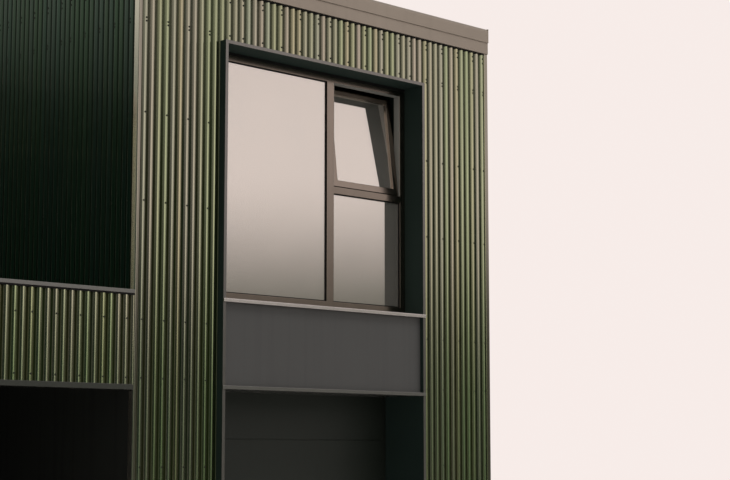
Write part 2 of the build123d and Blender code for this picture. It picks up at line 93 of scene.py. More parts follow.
class Facing(Enum):
    """The side that a wall looks to: the axis along it, the axis into it and that one's sign."""

    STREET = (0, 1, 1.0)
    GARDEN = (0, 1, -1.0)
    BAY = (1, 0, 1.0)

    def place(self, face: float, along: Array, depth: Array, height: Array) -> Array:
        """Turn places on a wall into points.

        Args:
            face: where the wall's outer plane lies, along its own direction.
            along: places along the wall.
            depth: places behind the outer plane, into the wall.
            height: heights above the ground.

        Returns:
            Points, one row each.
        """
        run, inward, sign = self.value
        points = np.empty((*along.shape, 3))
        points[..., run], points[..., inward], points[..., 2] = along, face + sign * depth, height
        return points

    def read(self, face: float, points: Array) -> tuple[Array, Array]:
        """Places along the wall and depths behind its outer plane, from points."""
        run, inward, sign = self.value
        return points[:, run], sign * (points[:, inward] - face)


# node helpers


class NodeDesk:
    """Lays and joins shader nodes in one tree."""

    def __init__(self, tree: bpy.types.NodeTree) -> None:
        """Keep the tree and clear what it holds."""
        self.tree = tree
        tree.nodes.clear()

    def give(self, socket: Socket, value: object) -> None:
        """Join an input to a socket or set its value.

        Args:
            socket: the input.
            value: the socket to join, or the value or colour to set; a colour gets a full alpha.
        """
        if isinstance(value, Socket):
            self.tree.links.new(value, socket)
        else:
            socket.default_value = (*value, 1.0) if socket.type == "RGBA" else value

    def add(self, kind: str, inputs: dict | None = None, **settings: object) -> bpy.types.Node:
        """Lay one node.

        Args:
            kind: the node's type without the words ShaderNode, such as Math.
            inputs: values, colours or sockets for its inputs, by name or place.
            settings: attributes of the node itself.

        Returns:
            The new node.
        """
        node = self.tree.nodes.new(f"ShaderNode{kind}")
        for name, value in settings.items():
            setattr(node, name, value)
        for key, value in (inputs or {}).items():
            self.give(node.inputs[key], value)
        return node

    def math(self, operation: str, first: object, second: object = 0.0) -> Socket:
        """Lay a math node and return its value."""
        return self.add("Math", {0: first, 1: second}, operation=operation).outputs[0]

    def mix(self, amount: object, first: object, second: object, blend: str = "MIX") -> Socket:
        """Mix two colours by an amount and return the colour."""
        inputs = {0: amount, 6: first, 7: second}
        return self.add("Mix", inputs, data_type="RGBA", blend_type=blend).outputs[2]

    def ramp(self, value: Socket, low: float, high: float, start: float = 0.0, end: float = 1.0) -> Socket:
        """Map a value from one range to another with soft ends and return it."""
        inputs = {"Value": value, "From Min": low, "From Max": high, "To Min": start, "To Max": end}
        return self.add("MapRange", inputs, interpolation_type="SMOOTHSTEP").outputs["Result"]

    def palette(self, value: Socket, colours: Sequence[Colour]) -> Socket:
        """Spread a row of colours evenly over values from 0 to 1.

        Args:
            value: where to look in the row.
            colours: the colours from 0 to 1.

        Returns:
            The colour there, mixed from its neighbours.
        """
        node = self.add("ValToRGB", {"Fac": value})
        stops = node.color_ramp.elements
        for number in range(1, len(colours) - 1):
            stops.new(number / (len(colours) - 1))
        for stop, colour in zip(stops, colours):
            stop.color = (*colour, 1.0)
        return node.outputs["Color"]

    def place(self) -> Socket:
        """The point's Object coordinates."""
        return self.add("TexCoord").outputs["Object"]

    def axes(self, vector: Socket) -> bpy.types.bpy_prop_collection:
        """A vector's X, Y and Z."""
        return self.add("SeparateXYZ", {0: vector}).outputs

    def dot(self, way: Socket, direction: Vector) -> Socket:
        """How far a way runs along a direction."""
        return self.add("VectorMath", {0: way, 1: direction}, operation="DOT_PRODUCT").outputs["Value"]

    def noise(self, place: Socket, scale: object, detail: float) -> Socket:
        """A noise from 0 to 1 at a place."""
        return self.add("TexNoise", {"Vector": place, "Scale": scale, "Detail": detail}).outputs["Fac"]

    def attribute(self, name: str) -> Socket:
        """A value that the piece's own points carry."""
        return self.add("Attribute", attribute_name=name).outputs["Fac"]

    def bump(self, height: Socket, strength: float, depth: float) -> Socket:
        """The normal that a height bends."""
        inputs = {"Height": height, "Strength": strength, "Distance": depth}
        return self.add("Bump", inputs).outputs["Normal"]

    def finish(self, shader: bpy.types.Node, kind: str = "OutputMaterial") -> None:
        """Send a shader to the tree's output."""
        self.add(kind, {"Surface": shader.outputs[0]})


def new_material(name: str) -> tuple[bpy.types.Material, NodeDesk]:
    """Start a material.

    Args:
        name: the material's name.

    Returns:
        The material and the desk for its nodes.
    """
    material = bpy.data.materials.new(name)
    material.use_nodes = True
    return material, NodeDesk(material.node_tree)


@dataclass(frozen=True)
class WeatherGroup:
    """Slow colour change, rain streaks, uneven gloss and fine grain, shared by the finishes.

    The slow, rain and middle noises are given by their scale and detail.
    """

    name: str = "weathered surface"
    slow: Range = (0.9, 4.0)
    rain: Range = (1.0, 5.0)
    rain_stretch: Vector = (14.0, 14.0, 0.45)
    rain_marks: Range = (0.46, 0.72)
    rain_dulling: float = 0.5
    middle: Range = (7.0, 6.0)
    grain_detail: float = 2.0
    noise_mean: float = 0.5
    noise_span: float = 2.0

    def tree(self) -> bpy.types.NodeTree:
        """The node group, built at its first use."""
        return bpy.data.node_groups.get(self.name) or self._build()

    def _build(self) -> bpy.types.NodeTree:
        """Build the group.

        The colour is darkened and lightened by a slow noise and by a noise drawn out along
        the height, which reads as rain streaks. The roughness changes with a middle noise,
        and the height is a fine grain.

        Returns:
            The new group.
        """
        tree = bpy.data.node_groups.new(self.name, "ShaderNodeTree")
        desk = NodeDesk(tree)
        sides = {
            "INPUT": ("Color", "Change", "Streaks", "Roughness", "Gloss Change", "Grain Scale"),
            "OUTPUT": ("Color", "Roughness", "Height"),
        }
        for side, names in sides.items():
            for name in names:
                kind = "NodeSocketColor" if name == "Color" else "NodeSocketFloat"
                tree.interface.new_socket(name, in_out=side, socket_type=kind)
        given = tree.nodes.new("NodeGroupInput").outputs
        place = desk.place()
        slow = desk.math("SUBTRACT", desk.noise(place, *self.slow), self.noise_mean)
        swing = desk.math("MULTIPLY", slow, desk.math("MULTIPLY", given["Change"], self.noise_span))
        drawn = desk.add("Mapping", {"Vector": place, "Scale": self.rain_stretch}).outputs[0]
        rain = desk.ramp(desk.noise(drawn, *self.rain), *self.rain_marks)
        streak = desk.math("MULTIPLY", rain, given["Streaks"])
        level = desk.math("SUBTRACT", desk.math("ADD", swing, 1.0), streak)
        shade = desk.add("CombineXYZ", {0: level, 1: level, 2: level}).outputs[0]
        middle = desk.math("SUBTRACT", desk.noise(place, *self.middle), self.noise_mean)
        uneven = desk.math("ADD", given["Roughness"], desk.math("MULTIPLY", middle, given["Gloss Change"]))
        dulled = desk.math("ADD", uneven, desk.math("MULTIPLY", streak, self.rain_dulling))
        result = tree.nodes.new("NodeGroupOutput").inputs
        desk.give(result["Color"], desk.mix(1.0, given["Color"], shade, "MULTIPLY"))
        desk.give(result["Roughness"], dulled)
        desk.give(result["Height"], desk.noise(place, given["Grain Scale"], self.grain_detail))
        return tree


# finishes


@dataclass(frozen=True)
class Finish:
    """A coated or mineral surface with weather on it."""

    name: str
    slot: Slot
    colour: Colour
    metallic: float = 0.0
    roughness: float = 0.4
    change: float = 0.12
    streaks: float = 0.1
    gloss_change: float = 0.12
    grain_scale: float = 90.0
    grain: float = 0.05
    grain_depth: float = 0.0004
    coat: float = 0.0
    coat_roughness: float = 0.1
    coat_ior: float = 1.5
    specular: float = 0.5

    def material(self) -> bpy.types.Material:
        """Build the material.

        Returns:
            A material with the shared weather group in front of its shader.
        """
        material, desk = new_material(self.name)
        given = {
            "Color": self.base(desk), "Change": self.change, "Streaks": self.streaks,
            "Roughness": self.roughness, "Gloss Change": self.gloss_change, "Grain Scale": self.grain_scale,
        }
        weather = desk.add("Group", given, node_tree=WeatherGroup().tree()).outputs
        height = self.height(desk, weather["Height"])
        shader = desk.add("BsdfPrincipled", {
            "Base Color": self.tint(desk, weather["Color"]),
            "Roughness": self.gloss(desk, weather["Roughness"]),
            "Metallic": self.shine(desk),
            "Specular IOR Level": self.specular,
            "Coat Weight": self.cover(desk),
            "Coat Roughness": self.coat_roughness,
            "Coat IOR": self.coat_ior,
            "Normal": desk.bump(height, self.grain, self.grain_depth),
        })
        desk.finish(shader)
        return material

    def base(self, desk: NodeDesk) -> Colour | Socket:
        """The colour under the weather; plain finishes have one."""
        return self.colour

    def tint(self, desk: NodeDesk, colour: Socket) -> Socket:
        """The colour that the shader gets; plain finishes leave it as the weather made it."""
        return colour

    def shine(self, desk: NodeDesk) -> float | Socket:
        """How metallic the surface is; plain finishes are the same all over."""
        return self.metallic

    def gloss(self, desk: NodeDesk, roughness: Socket) -> Socket:
        """How rough the surface is; plain finishes leave it as the weather made it."""
        return roughness

    def cover(self, desk: NodeDesk) -> float | Socket:
        """How much clear coating there is; plain finishes are the same all over."""
        return self.coat

    def height(self, desk: NodeDesk, grain: Socket) -> Socket:
        """The relief; plain finishes have the weather's grain alone."""
        return grain


@dataclass(frozen=True)
class SheetFinish(Finish):
    """Mirror-like green coating: each wave has its own cast, and the valleys are dull and painted dark as
    painted shade.
    """

    crests: tuple[Colour, ...] = (
        (0.34, 0.31, 0.20), (0.265, 0.31, 0.18), (0.34, 0.295, 0.24), (0.275, 0.305, 0.22),
    )
    # painted shade: the valleys' dark colours stand in for the shade that falls in the waves
    valleys: tuple[Colour, ...] = ((0.009, 0.022, 0.003), (0.017, 0.019, 0.003), (0.009, 0.021, 0.009))
    turn: Range = (0.47, 0.96)
    # painted light: the valleys' painted shade fades between these heights, so the sheet reads lighter near
    # its top
    eaves: Range = (3.8, 5.8)
    shade_share_at_top: float = 0.8
    cast: float = 0.9
    recast: float = 7.3
    depth: float = 2.5
    valley_coat: float = 0.005
    dullness: float = 0.5

    def hollow(self, desk: NodeDesk) -> Socket:
        """Mask the valleys by the piece's own attribute.

        Args:
            desk: the desk of the material's tree.

        Returns:
            A value that grows from the crest to the valley, and less so towards the top of the wall, where
            the valleys' painted shade is weaker so that the top reads lighter.
        """
        depth = desk.ramp(desk.attribute("hollow"), *self.turn)
        height = desk.axes(desk.place())["Z"]
        return desk.math("MULTIPLY", depth, desk.ramp(height, *self.eaves, 1.0, self.shade_share_at_top))

    def tint(self, desk: NodeDesk, colour: Socket) -> Socket:
        """Mix in each wave's cast and the valleys' painted shade.

        Args:
            desk: the desk of the material's tree.
            colour: the weathered colour.

        Returns:
            The colour that the shader gets.
        """
        wave = desk.attribute("wave_cast")
        crest = desk.mix(self.cast, colour, desk.palette(wave, self.crests))
        # painted shade in the valleys
        valley = desk.palette(desk.math("FRACT", desk.math("MULTIPLY", wave, self.recast)), self.valleys)
        return desk.mix(self.hollow(desk), crest, valley)

    def shine(self, desk: NodeDesk) -> Socket:
        """Metallic on the crests and their flanks, and less so only deep in the valley."""
        deep = desk.math("POWER", self.hollow(desk), self.depth)
        return desk.math("MULTIPLY", desk.math("SUBTRACT", 1.0, deep), self.metallic)

    def gloss(self, desk: NodeDesk, roughness: Socket) -> Socket:
        """Dull in the valleys."""
        return desk.math("MAXIMUM", roughness, desk.math("MULTIPLY", self.hollow(desk), self.dullness))

    def cover(self, desk: NodeDesk) -> Socket:
        """Full coating on the crests and little in the dusty valleys."""
        bare = desk.math("MULTIPLY", self.hollow(desk), 1.0 - self.valley_coat)
        return desk.math("MULTIPLY", desk.math("SUBTRACT", 1.0, bare), self.coat)


@dataclass(frozen=True)
class FoldedFinish(Finish):
    """Metal with its own colour on the faces to the street or the garden, and another colour on the others
    that stands in for their light or shade: a painted highlight by default, painted shade where a finish
    gives a dark one.
    """

    # painted highlight: the pale default side colour stands in for the bright sky that side faces mirror
    aside: Colour = (0.92, 0.90, 0.78)
    turn: Range = (0.3, 0.8)

    def outward(self, desk: NodeDesk) -> Socket:
        """A mask of the faces that look to the street or the garden."""
        direction = desk.axes(desk.add("TexCoord").outputs["Normal"])
        return desk.ramp(desk.math("ABSOLUTE", direction["Y"]), *self.turn)

    def tint(self, desk: NodeDesk, colour: Socket) -> Socket:
        """The metal's own colour on the outward faces and the painted highlight or shade elsewhere."""
        return desk.mix(self.outward(desk), self.aside, colour)


@dataclass(frozen=True)
class SurroundFinish(FoldedFinish):
    """Grey metal outside, dull on the reveals, which are painted near-black as painted shade."""

    # painted shade: the near-black reveals stand in for the shade in the recess
    aside: Colour = (0.036, 0.058, 0.052)
    dullness: float = 0.6

    def shine(self, desk: NodeDesk) -> Socket:
        """Metallic on the outward faces alone."""
        return desk.math("MULTIPLY", self.outward(desk), self.metallic)

    def gloss(self, desk: NodeDesk, roughness: Socket) -> Socket:
        """Dull on the reveals."""
        inward = desk.math("SUBTRACT", 1.0, self.outward(desk))
        return desk.math("MAXIMUM", roughness, desk.math("MULTIPLY", inward, self.dullness))


@dataclass(frozen=True)
class MasonryFinish(Finish):
    """Dark render, and bare pale blocks on the party faces at both ends of the house."""

    block: Colour = (0.36, 0.345, 0.33)
    darker_block: Colour = (0.28, 0.27, 0.26)
    joint: Colour = (0.17, 0.165, 0.16)
    joint_width: float = 0.006
    block_length: float = 0.5
    course: float = 0.25
    ends: Range = (3.69, 3.695)

    def blocks(self, desk: NodeDesk) -> bpy.types.Node:
        """Lay blocks in running bond, by depth and height.

        Args:
            desk: the desk of the material's tree.

        Returns:
            The node with the blocks' colour and the joints' mask.
        """
        place = desk.axes(desk.place())
        return desk.add("TexBrick", {
            "Vector": desk.add("CombineXYZ", {0: place["Y"], 1: place["Z"]}).outputs[0],
            "Color1": self.block, "Color2": self.darker_block, "Mortar": self.joint, "Scale": 1.0,
            "Mortar Size": self.joint_width, "Brick Width": self.block_length, "Row Height": self.course,
        })

    def ended(self, desk: NodeDesk) -> Socket:
        """A mask of the party faces, by their place across the house."""
        return desk.ramp(desk.math("ABSOLUTE", desk.axes(desk.place())["X"]), *self.ends)

    def base(self, desk: NodeDesk) -> Socket:
        """The render's colour, and the blocks' on the party faces."""
        return desk.mix(self.ended(desk), self.colour, self.blocks(desk).outputs["Color"])

    def height(self, desk: NodeDesk, grain: Socket) -> Socket:
        """Grain all over, and joints that lie back between the blocks."""
        joints = desk.math("MULTIPLY", self.blocks(desk).outputs["Fac"], self.ended(desk))
        return desk.math("SUBTRACT", grain, joints)


@dataclass(frozen=True)
class GlassFinish:
    """Coated insulating glass: part mirror, part clear, with a thin film of dust.

    The ripple's and the film's noises are given by their scale and detail.
    """

    name: str
    slot: Slot
    colour: Colour
    mirror: float = 0.65
    clear: float = 0.75
    bending: float = 1.5
    ripple: Range = (1.6, 1.0)
    ripple_strength: float = 0.02
    ripple_depth: float = 0.02
    film: Range = (1.2, 2.0)
    dust: Colour = (0.6, 0.58, 0.54)
    dust_share: float = 0.06
    dust_from: Range = (0.35, 0.8)
    smear: float = 0.015
    smear_from: Range = (0.3, 0.9)

    def material(self) -> bpy.types.Material:
        """Build the material.

        Returns:
            A material whose normal waves slightly, as toughened panes do.
        """
        material, desk = new_material(self.name)
        wave = desk.noise(desk.place(), *self.ripple)
        film = desk.noise(desk.place(), *self.film)
        dusty = desk.ramp(film, *self.dust_from, 0.0, self.dust_share)
        shader = desk.add("BsdfPrincipled", {
            "Base Color": desk.mix(dusty, self.colour, self.dust),
            "Metallic": self.mirror,
            "Roughness": desk.ramp(film, *self.smear_from, 0.0, self.smear),
            "IOR": self.bending,
            "Transmission Weight": self.clear,
            "Normal": desk.bump(wave, self.ripple_strength, self.ripple_depth),
        })
        desk.finish(shader)
        return material


Look = Finish | GlassFinish

SHEET = SheetFinish(
    "olive corrugated sheet", Slot.SHEET, (0.27, 0.29, 0.20), metallic=0.98, roughness=0.12, change=0.06,
    streaks=0.06, gloss_change=0.04, grain=0.0, coat=0.4, coat_roughness=0.08, coat_ior=1.6, specular=0.05,
)
# painted shade: a darker copy of the street sheet for the gable wall, standing in for the shade on that
# side, with darker valleys too
SHADED_SIDE_SHEET = replace(
    SHEET, name="olive side sheet in painted shade", colour=(0.08, 0.12, 0.085), metallic=1.0, coat=0.2, depth=6.0,
    crests=((0.082, 0.125, 0.09), (0.076, 0.13, 0.085), (0.084, 0.12, 0.10), (0.076, 0.125, 0.098)),
    valleys=((0.003, 0.010, 0.004), (0.004, 0.009, 0.003), (0.003, 0.010, 0.006)),
)
# painted light: a lighter copy of the street sheet for the parapet, with lighter crests, standing in for the
# light on it
LIT_PARAPET_SHEET = replace(
    SHEET, name="olive parapet sheet in painted light", colour=(0.48, 0.47, 0.32),
    crests=((0.46, 0.41, 0.24), (0.31, 0.37, 0.21), (0.42, 0.38, 0.30), (0.34, 0.36, 0.24)),
)
# painted highlight: the trim's side leg takes the pale default side colour
TRIM = FoldedFinish(
    "olive folded trim", Slot.SHEET, (0.29, 0.27, 0.22), metallic=0.95, roughness=0.14, change=0.06,
    streaks=0.06, gloss_change=0.04, grain=0.0, coat=0.3, coat_roughness=0.08, specular=0.1,
)
SCREW = Finish("dark screw head", Slot.SHEET, (0.03, 0.035, 0.025), metallic=0.6)
COPING = Finish(
    "grey beige coping", Slot.COPING, (0.385, 0.33, 0.275), metallic=0.45, roughness=0.36, change=0.06,
    streaks=0.04,
)
FLASHING = Finish(
    "grey flashing", Slot.FLASHING, (0.30, 0.295, 0.285), metallic=0.65, roughness=0.16, change=0.06,
)
# painted shade: a darker copy of the flashing for the parapet's drip, standing in for the shade on it
SHADED_DRIP = replace(FLASHING, name="drip flashing in painted shade", colour=(0.13, 0.135, 0.125))
# painted highlight: a far brighter copy of the flashing for the sills, standing in for the sky light on
# their tops and noses
SILL_PAINTED_LIGHT = Finish(
    "sill sheet in painted highlight", Slot.FLASHING, (0.78, 0.74, 0.72), metallic=1.0, roughness=0.22, change=0.08,
    streaks=0.08,
)
SURROUND = SurroundFinish(
    "folded surround", Slot.FLASHING, (0.225, 0.215, 0.205), metallic=0.65, roughness=0.2, change=0.08,
    streaks=0.05, specular=0.08,
)
SPANDREL = Finish(
    "dark grey spandrel", Slot.SPANDREL, (0.098, 0.100, 0.100), roughness=0.5, change=0.05, streaks=0.06,
    grain_scale=400.0, grain=0.12,
)
FRAME = Finish(
    "dark window frame", Slot.FRAME, (0.28, 0.235, 0.20), metallic=1.0, roughness=0.19, change=0.05,
    streaks=0.03, grain_scale=500.0, grain=0.03,
)
REBATE = Finish(
    "pale frame rebate", Slot.FRAME, (0.42, 0.43, 0.41), roughness=0.35, change=0.05, grain_scale=300.0,
)
GASKET = Finish(
    "black glazing gasket", Slot.FRAME, (0.010, 0.010, 0.010), roughness=0.6, change=0.05, grain_scale=300.0,
    specular=0.2,
)
HARDWARE = Finish(
    "brushed door hardware", Slot.FRAME, (0.42, 0.42, 0.41), metallic=1.0, roughness=0.3, change=0.05,
    grain_scale=700.0, grain=0.04,
)
DOOR = Finish(
    "dark door leaf", Slot.DOOR, (0.018, 0.024, 0.019), roughness=0.45, change=0.06, streaks=0.05,
    grain_scale=420.0, grain=0.1, specular=0.4,
)
GLASS = GlassFinish("coated insulating glass", Slot.GLASS, (0.90, 0.85, 0.80))
TERRACE_GLASS = GlassFinish("tinted terrace glass", Slot.GLASS, (0.30, 0.32, 0.30), mirror=0.15)
RENDER = MasonryFinish(
    "dark masonry render", Slot.RENDER, (0.030, 0.033, 0.030), roughness=0.85, streaks=0.12,
    grain_scale=220.0, grain=0.5, grain_depth=0.002, specular=0.2,
)
CONCRETE = Finish(
    "cast concrete", Slot.CONCRETE, (0.30, 0.29, 0.275), roughness=0.8, change=0.16,
    grain_scale=130.0, grain=0.35, grain_depth=0.002, specular=0.3,
)
PAVING = Finish(
    "terrace paving", Slot.CONCRETE, (0.11, 0.108, 0.102), roughness=0.75, change=0.2, streaks=0.08,
    grain_scale=160.0, grain=0.3, grain_depth=0.0015, specular=0.3,
)
ROOF = Finish(
    "dark roofing sheet", Slot.ROOF, (0.075, 0.077, 0.076), metallic=0.5, roughness=0.38, change=0.1,
)
MEMBRANE = Finish(
    "flat roof membrane", Slot.ROOF, (0.085, 0.085, 0.083), roughness=0.7, change=0.2, streaks=0.05,
    grain_scale=240.0, grain=0.4, grain_depth=0.001, specular=0.3,
)
CHIMNEY = Finish(
    "pale chimney render", Slot.CHIMNEY, (0.42, 0.39, 0.385), roughness=0.7, change=0.07, streaks=0.12,
    grain_scale=180.0, grain=0.3, grain_depth=0.0015,
)


class Wardrobe:
    """Builds each finish's material once and dresses pieces in it."""

    def __init__(self) -> None:
        """Start with no material built."""
        self._built: dict[str, bpy.types.Material] = {}

    def dress(self, piece: bpy.types.Object, finish: Look) -> None:
        """Put a finish on a whole piece; its material is built at its first use.

        Args:
            piece: the piece or CAD node.
            finish: what it is dressed in.
        """
        if finish.name not in self._built:
            self._built[finish.name] = finish.material()
        piece.data.materials.clear()
        piece.data.materials.append(self._built[finish.name])


# mesh helpers


def coordinates(mesh: bpy.types.Mesh) -> Array:
    """Read a mesh's points.

    Args:
        mesh: the mesh.

    Returns:
        Its points, one row each.
    """
    place = np.zeros(len(mesh.vertices) * 3, np.float32)
    mesh.vertices.foreach_get("co", place)
    return place.reshape(-1, 3)


def ring_faces(rings: int, sides: int) -> Array:
    """Quads between neighbouring rings of points, counted ring by ring.

    Args:
        rings: number of rings.
        sides: number of points in a ring.

    Returns:
        One row of four point numbers per quad.
    """
    ring = np.arange(rings - 1)[:, None] * sides
    point = np.arange(sides)[None, :]
    following = (point + 1) % sides
    corners = [ring + point, ring + following, ring + sides + following, ring + sides + point]
    return np.stack(corners, axis=-1).reshape(-1, 4)


def band(section: Sequence[Array]) -> Shape:
    """A strip with a four-sided section, closed all round.

    Args:
        section: the strip's four long lines, in their order round the section, each with a
            point at every place along the strip.

    Returns:
        Points, four at each place, and quads from place to place and over both ends.
    """
    grid = np.stack(section, axis=1)
    last = 4 * (len(grid) - 1)
    ends = np.array([[0, 1, 2, 3], [last + 3, last + 2, last + 1, last]])
    return grid.reshape(-1, 3), np.concatenate([ring_faces(len(grid), 4), ends])


def repeated(faces: Array, each: int, count: int) -> Array:
    """The faces of one copy with so many points each, counted on for every copy."""
    return (faces[None] + each * np.arange(count)[:, None, None]).reshape(-1, 4)


def boxes(low: Array, high: Array) -> Shape:
    """Many plain boxes at once.

    Args:
        low: lowest corner of each box, one row each.
        high: highest corner of each box, one row each.

    Returns:
        Points and quads of all the boxes: each corner takes its three numbers from the low or
        the high corner.
    """
    pick = np.array([[x, y, z] for x in (0, 1) for y in (0, 1) for z in (0, 1)])
    points = low[:, None, :] + pick[None] * (high - low)[:, None, :]
    faces = np.array([[0, 1, 3, 2], [4, 6, 7, 5], [0, 4, 5, 1], [2, 3, 7, 6], [0, 2, 6, 4], [1, 5, 7, 3]])
    return points.reshape(-1, 3), repeated(faces, len(pick), len(low))


def bars(spans: Sequence[Sequence[float]], front: float, back: float) -> Shape:
    """Boxes between two places along Y, each from its lowest X and Z and its highest X and Z."""
    spans = np.array(spans)
    return boxes(np.insert(spans[:, :2], 1, front, axis=1), np.insert(spans[:, 2:], 1, back, axis=1))


def joined(shapes: Sequence[Shape]) -> Shape:
    """Several shapes as one.

    Args:
        shapes: points and quads of each shape.

    Returns:
        All the points, and all the quads counted on from shape to shape.
    """
    starts = np.cumsum([0] + [len(points) for points, _ in shapes[:-1]])
    faces = [quads + start for (_, quads), start in zip(shapes, starts)]
    return np.concatenate([points for points, _ in shapes]), np.concatenate(faces)


def tube(path: Array, radius: float, sides: int = 14) -> Shape:
    """A round bar along a flat path, closed at both ends.

    Args:
        path: points along its middle, in one level plane.
        radius: the bar's radius.
        sides: number of flats round it.

    Returns:
        Points and quads: each ring is a circle square to the path's direction, and each end is
        closed by a ring of no size.
    """
    way = np.gradient(path, axis=0)
    way /= np.linalg.norm(way, axis=1, keepdims=True)
    upright = np.array([0.0, 0.0, 1.0])
    aside = np.cross(way, upright)
    turn = np.linspace(0, 2 * np.pi, sides, endpoint=False)
    circle = np.cos(turn)[None, :, None] * aside[:, None, :] + np.sin(turn)[None, :, None] * upright
    size = np.array([0.0, *([radius] * len(path)), 0.0])
    rings = np.concatenate([circle[:1], circle, circle[-1:]])
    middles = np.concatenate([path[:1], path, path[-1:]])
    points = middles[:, None, :] + size[:, None, None] * rings
    return points.reshape(-1, 3), ring_faces(len(middles), sides)


@dataclass
class Workshop:
    """Makes pieces, dresses them and hangs them on the frame. Its angles are in degrees."""

    nodes: dict[str, bpy.types.Object]
    wardrobe: Wardrobe = field(default_factory=Wardrobe)
    sharp_edge: float = 35.0
    fold: float = 30.0
    flat: float = 1.0
    same_point: float = 1e-6
    same_corner: float = 1e-5

    def piece(self, name: str, shape: Shape, finish: Look, node: str = "") -> bpy.types.Object:
        """Make one piece from points and quads.

        Args:
            name: the piece's name.
            shape: its points and quads.
            finish: what it is dressed in.
            node: the CAD node that it stands for, if any.

        Returns:
            The finished object.
        """
        points, faces = shape
        mesh = bpy.data.meshes.new(name)
        mesh.from_pydata(points, [], faces.tolist())
        work = bmesh.new()
        work.from_mesh(mesh)
        bmesh.ops.remove_doubles(work, verts=work.verts, dist=self.same_point)
        bmesh.ops.recalc_face_normals(work, faces=work.faces)
        work.to_mesh(mesh)
        work.free()
        mesh.shade_smooth()
        mesh.set_sharp_from_angle(angle=math.radians(self.sharp_edge))
        return self.hang(name, mesh, finish, node)

    def hang(self, name: str, mesh: bpy.types.Mesh, finish: Look, node: str = "") -> bpy.types.Object:
        """Link a mesh as a piece, dress it and ride it on the house.

        Args:
            name: the piece's name.
            mesh: its mesh.
            finish: what it is dressed in.
            node: the CAD node that it stands for, if any.

        Returns:
            The piece.
        """
        piece = bpy.data.objects.new(name, mesh)
        bpy.context.scene.collection.objects.link(piece)
        self.wardrobe.dress(piece, finish)
        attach(piece, "root")
        if node:
            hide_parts(node)
        LOG.info("%s: %d faces, stands for %s", name, len(mesh.polygons), node or "no node")
        return piece

    def softened(
        self, name: str, node: str, finish: Look, radius: float, segments: int = 2, crown: float = 0.0,
    ) -> None:
        """Copy a CAD node into a piece with rounded edges.

        Args:
            name: the new piece's name.
            node: the CAD node that it is copied from and stands for.
            finish: what it is dressed in.
            radius: width of the rounding.
            segments: number of flats across the rounding.
            crown: width of the rounding along the top, or 0 for the same as elsewhere.
        """
        work = bmesh.new()
        work.from_mesh(self.nodes[node].data)
        bmesh.ops.remove_doubles(work, verts=work.verts, dist=self.same_corner)
        flat = math.radians(self.flat)
        bmesh.ops.dissolve_limit(work, angle_limit=flat, verts=work.verts, edges=work.edges)
        if crown:
            self._weigh_edges(work, radius / crown)
        mesh = bpy.data.meshes.new(name)
        work.to_mesh(mesh)
        work.free()
        mesh.shade_smooth()
        piece = self.hang(name, mesh, finish, node)
        bevel = piece.modifiers.new("rounded edges", "BEVEL")
        bevel.width = crown or radius
        bevel.segments = segments
        bevel.limit_method = "WEIGHT" if crown else "ANGLE"
        bevel.angle_limit = math.radians(self.fold)
        normals = piece.modifiers.new("flat faces", "WEIGHTED_NORMAL")
        normals.mode = "FACE_AREA"
        normals.weight = 100

    def _weigh_edges(self, work: bmesh.types.BMesh, small: float) -> None:
        """Give the edges along the top the whole rounding and the other folds a small share.

        An edge along the top lies between a face that looks up and one that stands upright and
        doesn't close the right end.

        Args:
            work: the mesh in hand.
            small: the other folds' share of the rounding.
        """
        upward, upright, right_end = 0.6, 0.3, 0.9
        work.normal_update()
        weight = work.edges.layers.float.new("bevel_weight_edge")
        for edge in work.edges:
            if len(edge.link_faces) != 2 or edge.calc_face_angle() < math.radians(self.fold):
                continue
            side, top = sorted((face.normal for face in edge.link_faces), key=lambda way: way.z)
            crowned = edge.is_convex and top.z > upward and abs(side.z) < upright and side.x < right_end
            edge[weight] = 1.0 if crowned else small

    def dress_nodes(self, finish: Look, *names: str) -> None:
        """Dress CAD nodes that keep their own mesh.

        Args:
            finish: what they are dressed in.
            names: the nodes' names.
        """
        for name in names:
            self.wardrobe.dress(self.nodes[name], finish)
            LOG.info("%s: CAD node dressed as %s", name, finish.name)


# the house


@dataclass
class Strip:
    """One stretch of corrugated sheet, whose head is a height or a line over the places along it."""

    start: float
    end: float
    foot: float
    head: float | Line

    def top(self, along: Array) -> Array:
        """Heights of the head at places along the wall."""
        return self.head(along) if callable(self.head) else np.full_like(along, self.head)


